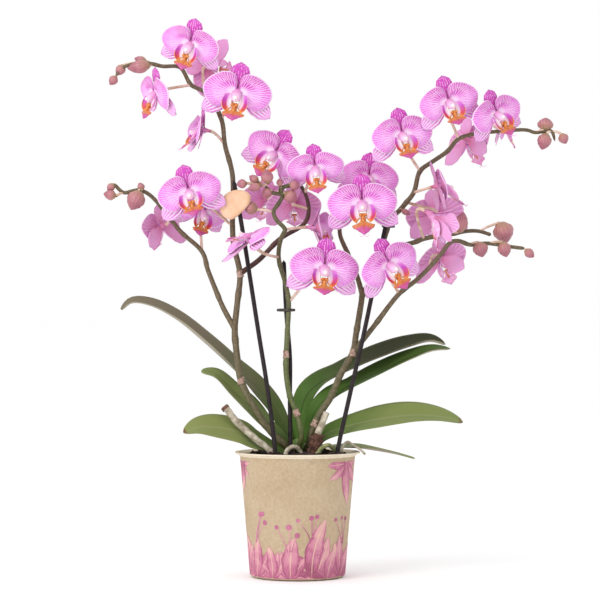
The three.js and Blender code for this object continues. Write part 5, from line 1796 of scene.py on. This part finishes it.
# %% The chips
draw = random.Random(41)
for chip in range(CHIPS):
    reach, turn = 43.0 * math.sqrt(draw.random()), draw.uniform(0, 6.28)
    size = Vector((draw.uniform(2.2, 6.5), draw.uniform(1.6, 4.2), draw.uniform(0.9, 2.4)))
    reach = min(reach, 43.4 - size.x * 0.8)
    tilt = Euler((draw.uniform(-0.6, 0.6), draw.uniform(-0.6, 0.6), draw.uniform(0, 6.28)))
    middle = Vector((reach * math.cos(turn), reach * math.sin(turn), 96.4 + draw.uniform(-1.4, 1.6)))
    rings = []
    for layer in (-1, 1):
        ring = []
        for corner in range(CHIP_CORNERS):
            angle = 2 * math.pi * corner / CHIP_CORNERS
            jitter = draw.uniform(0.7, 1.1)
            point = Vector((size.x * math.cos(angle) * jitter, size.y * math.sin(angle) * jitter,
                            size.z * layer * draw.uniform(0.6, 1)))
            point.rotate(tilt)
            ring.append(middle + point)
        rings.append(ring)
    form.grid(rings, 0, around=True)
    form.fan(rings[0][::-1], sum(rings[0], Vector()) / CHIP_CORNERS, 0, (0.5, 0))
    form.fan(rings[1], sum(rings[1], Vector()) / CHIP_CORNERS, 0, (0.5, 1))
bark_piece = form.place("chopped_bark", [bark_skin], "bark", ["bark_mix"])
bark_piece.data.polygons.foreach_set("use_smooth", [False] * len(bark_piece.data.polygons))
print("bark faces:", len(form.faces))

# %% [markdown]
# ## The grow pot
# The thin dark pot inside is hardly seen. It could be made again with its slots and ribs, but none
# of them would show, so its solid stays and only takes its finish.

# %% Grow pot
grow_pot = frame["nodes"]["grow_pot"]
grow_pot.data.materials.clear()
grow_pot.data.materials.append(liner_plastic)
print("finish of the grow pot:", grow_pot.data.materials[0].name)

# %% [markdown]
# ## The floor
# The floor is seen only through the soft shadow on it. A curved sweep, as in a studio, would hide the
# line where floor and wall meet. Here floor and world are both white, so a wide flat floor is enough.

# %% Floor
FLOOR_REACH, FLOOR_DROP = 30, 0.0002
floor_form = bpy.data.meshes.new("pale_floor")
corners = [(x * FLOOR_REACH, y * FLOOR_REACH, -FLOOR_DROP) for x,
           y in ((-1, -1), (1, -1), (1, 1), (-1, 1))]
floor_form.from_pydata(corners, [], [(0, 1, 2, 3)])
floor_form.materials.append(finish("painted_floor_matt", srgb("FFFFFF"), 0.95))
floor = bpy.data.objects.new("pale_floor", floor_form)
bpy.context.scene.collection.objects.link(floor)
print("floor:", 2 * FLOOR_REACH, "m wide")
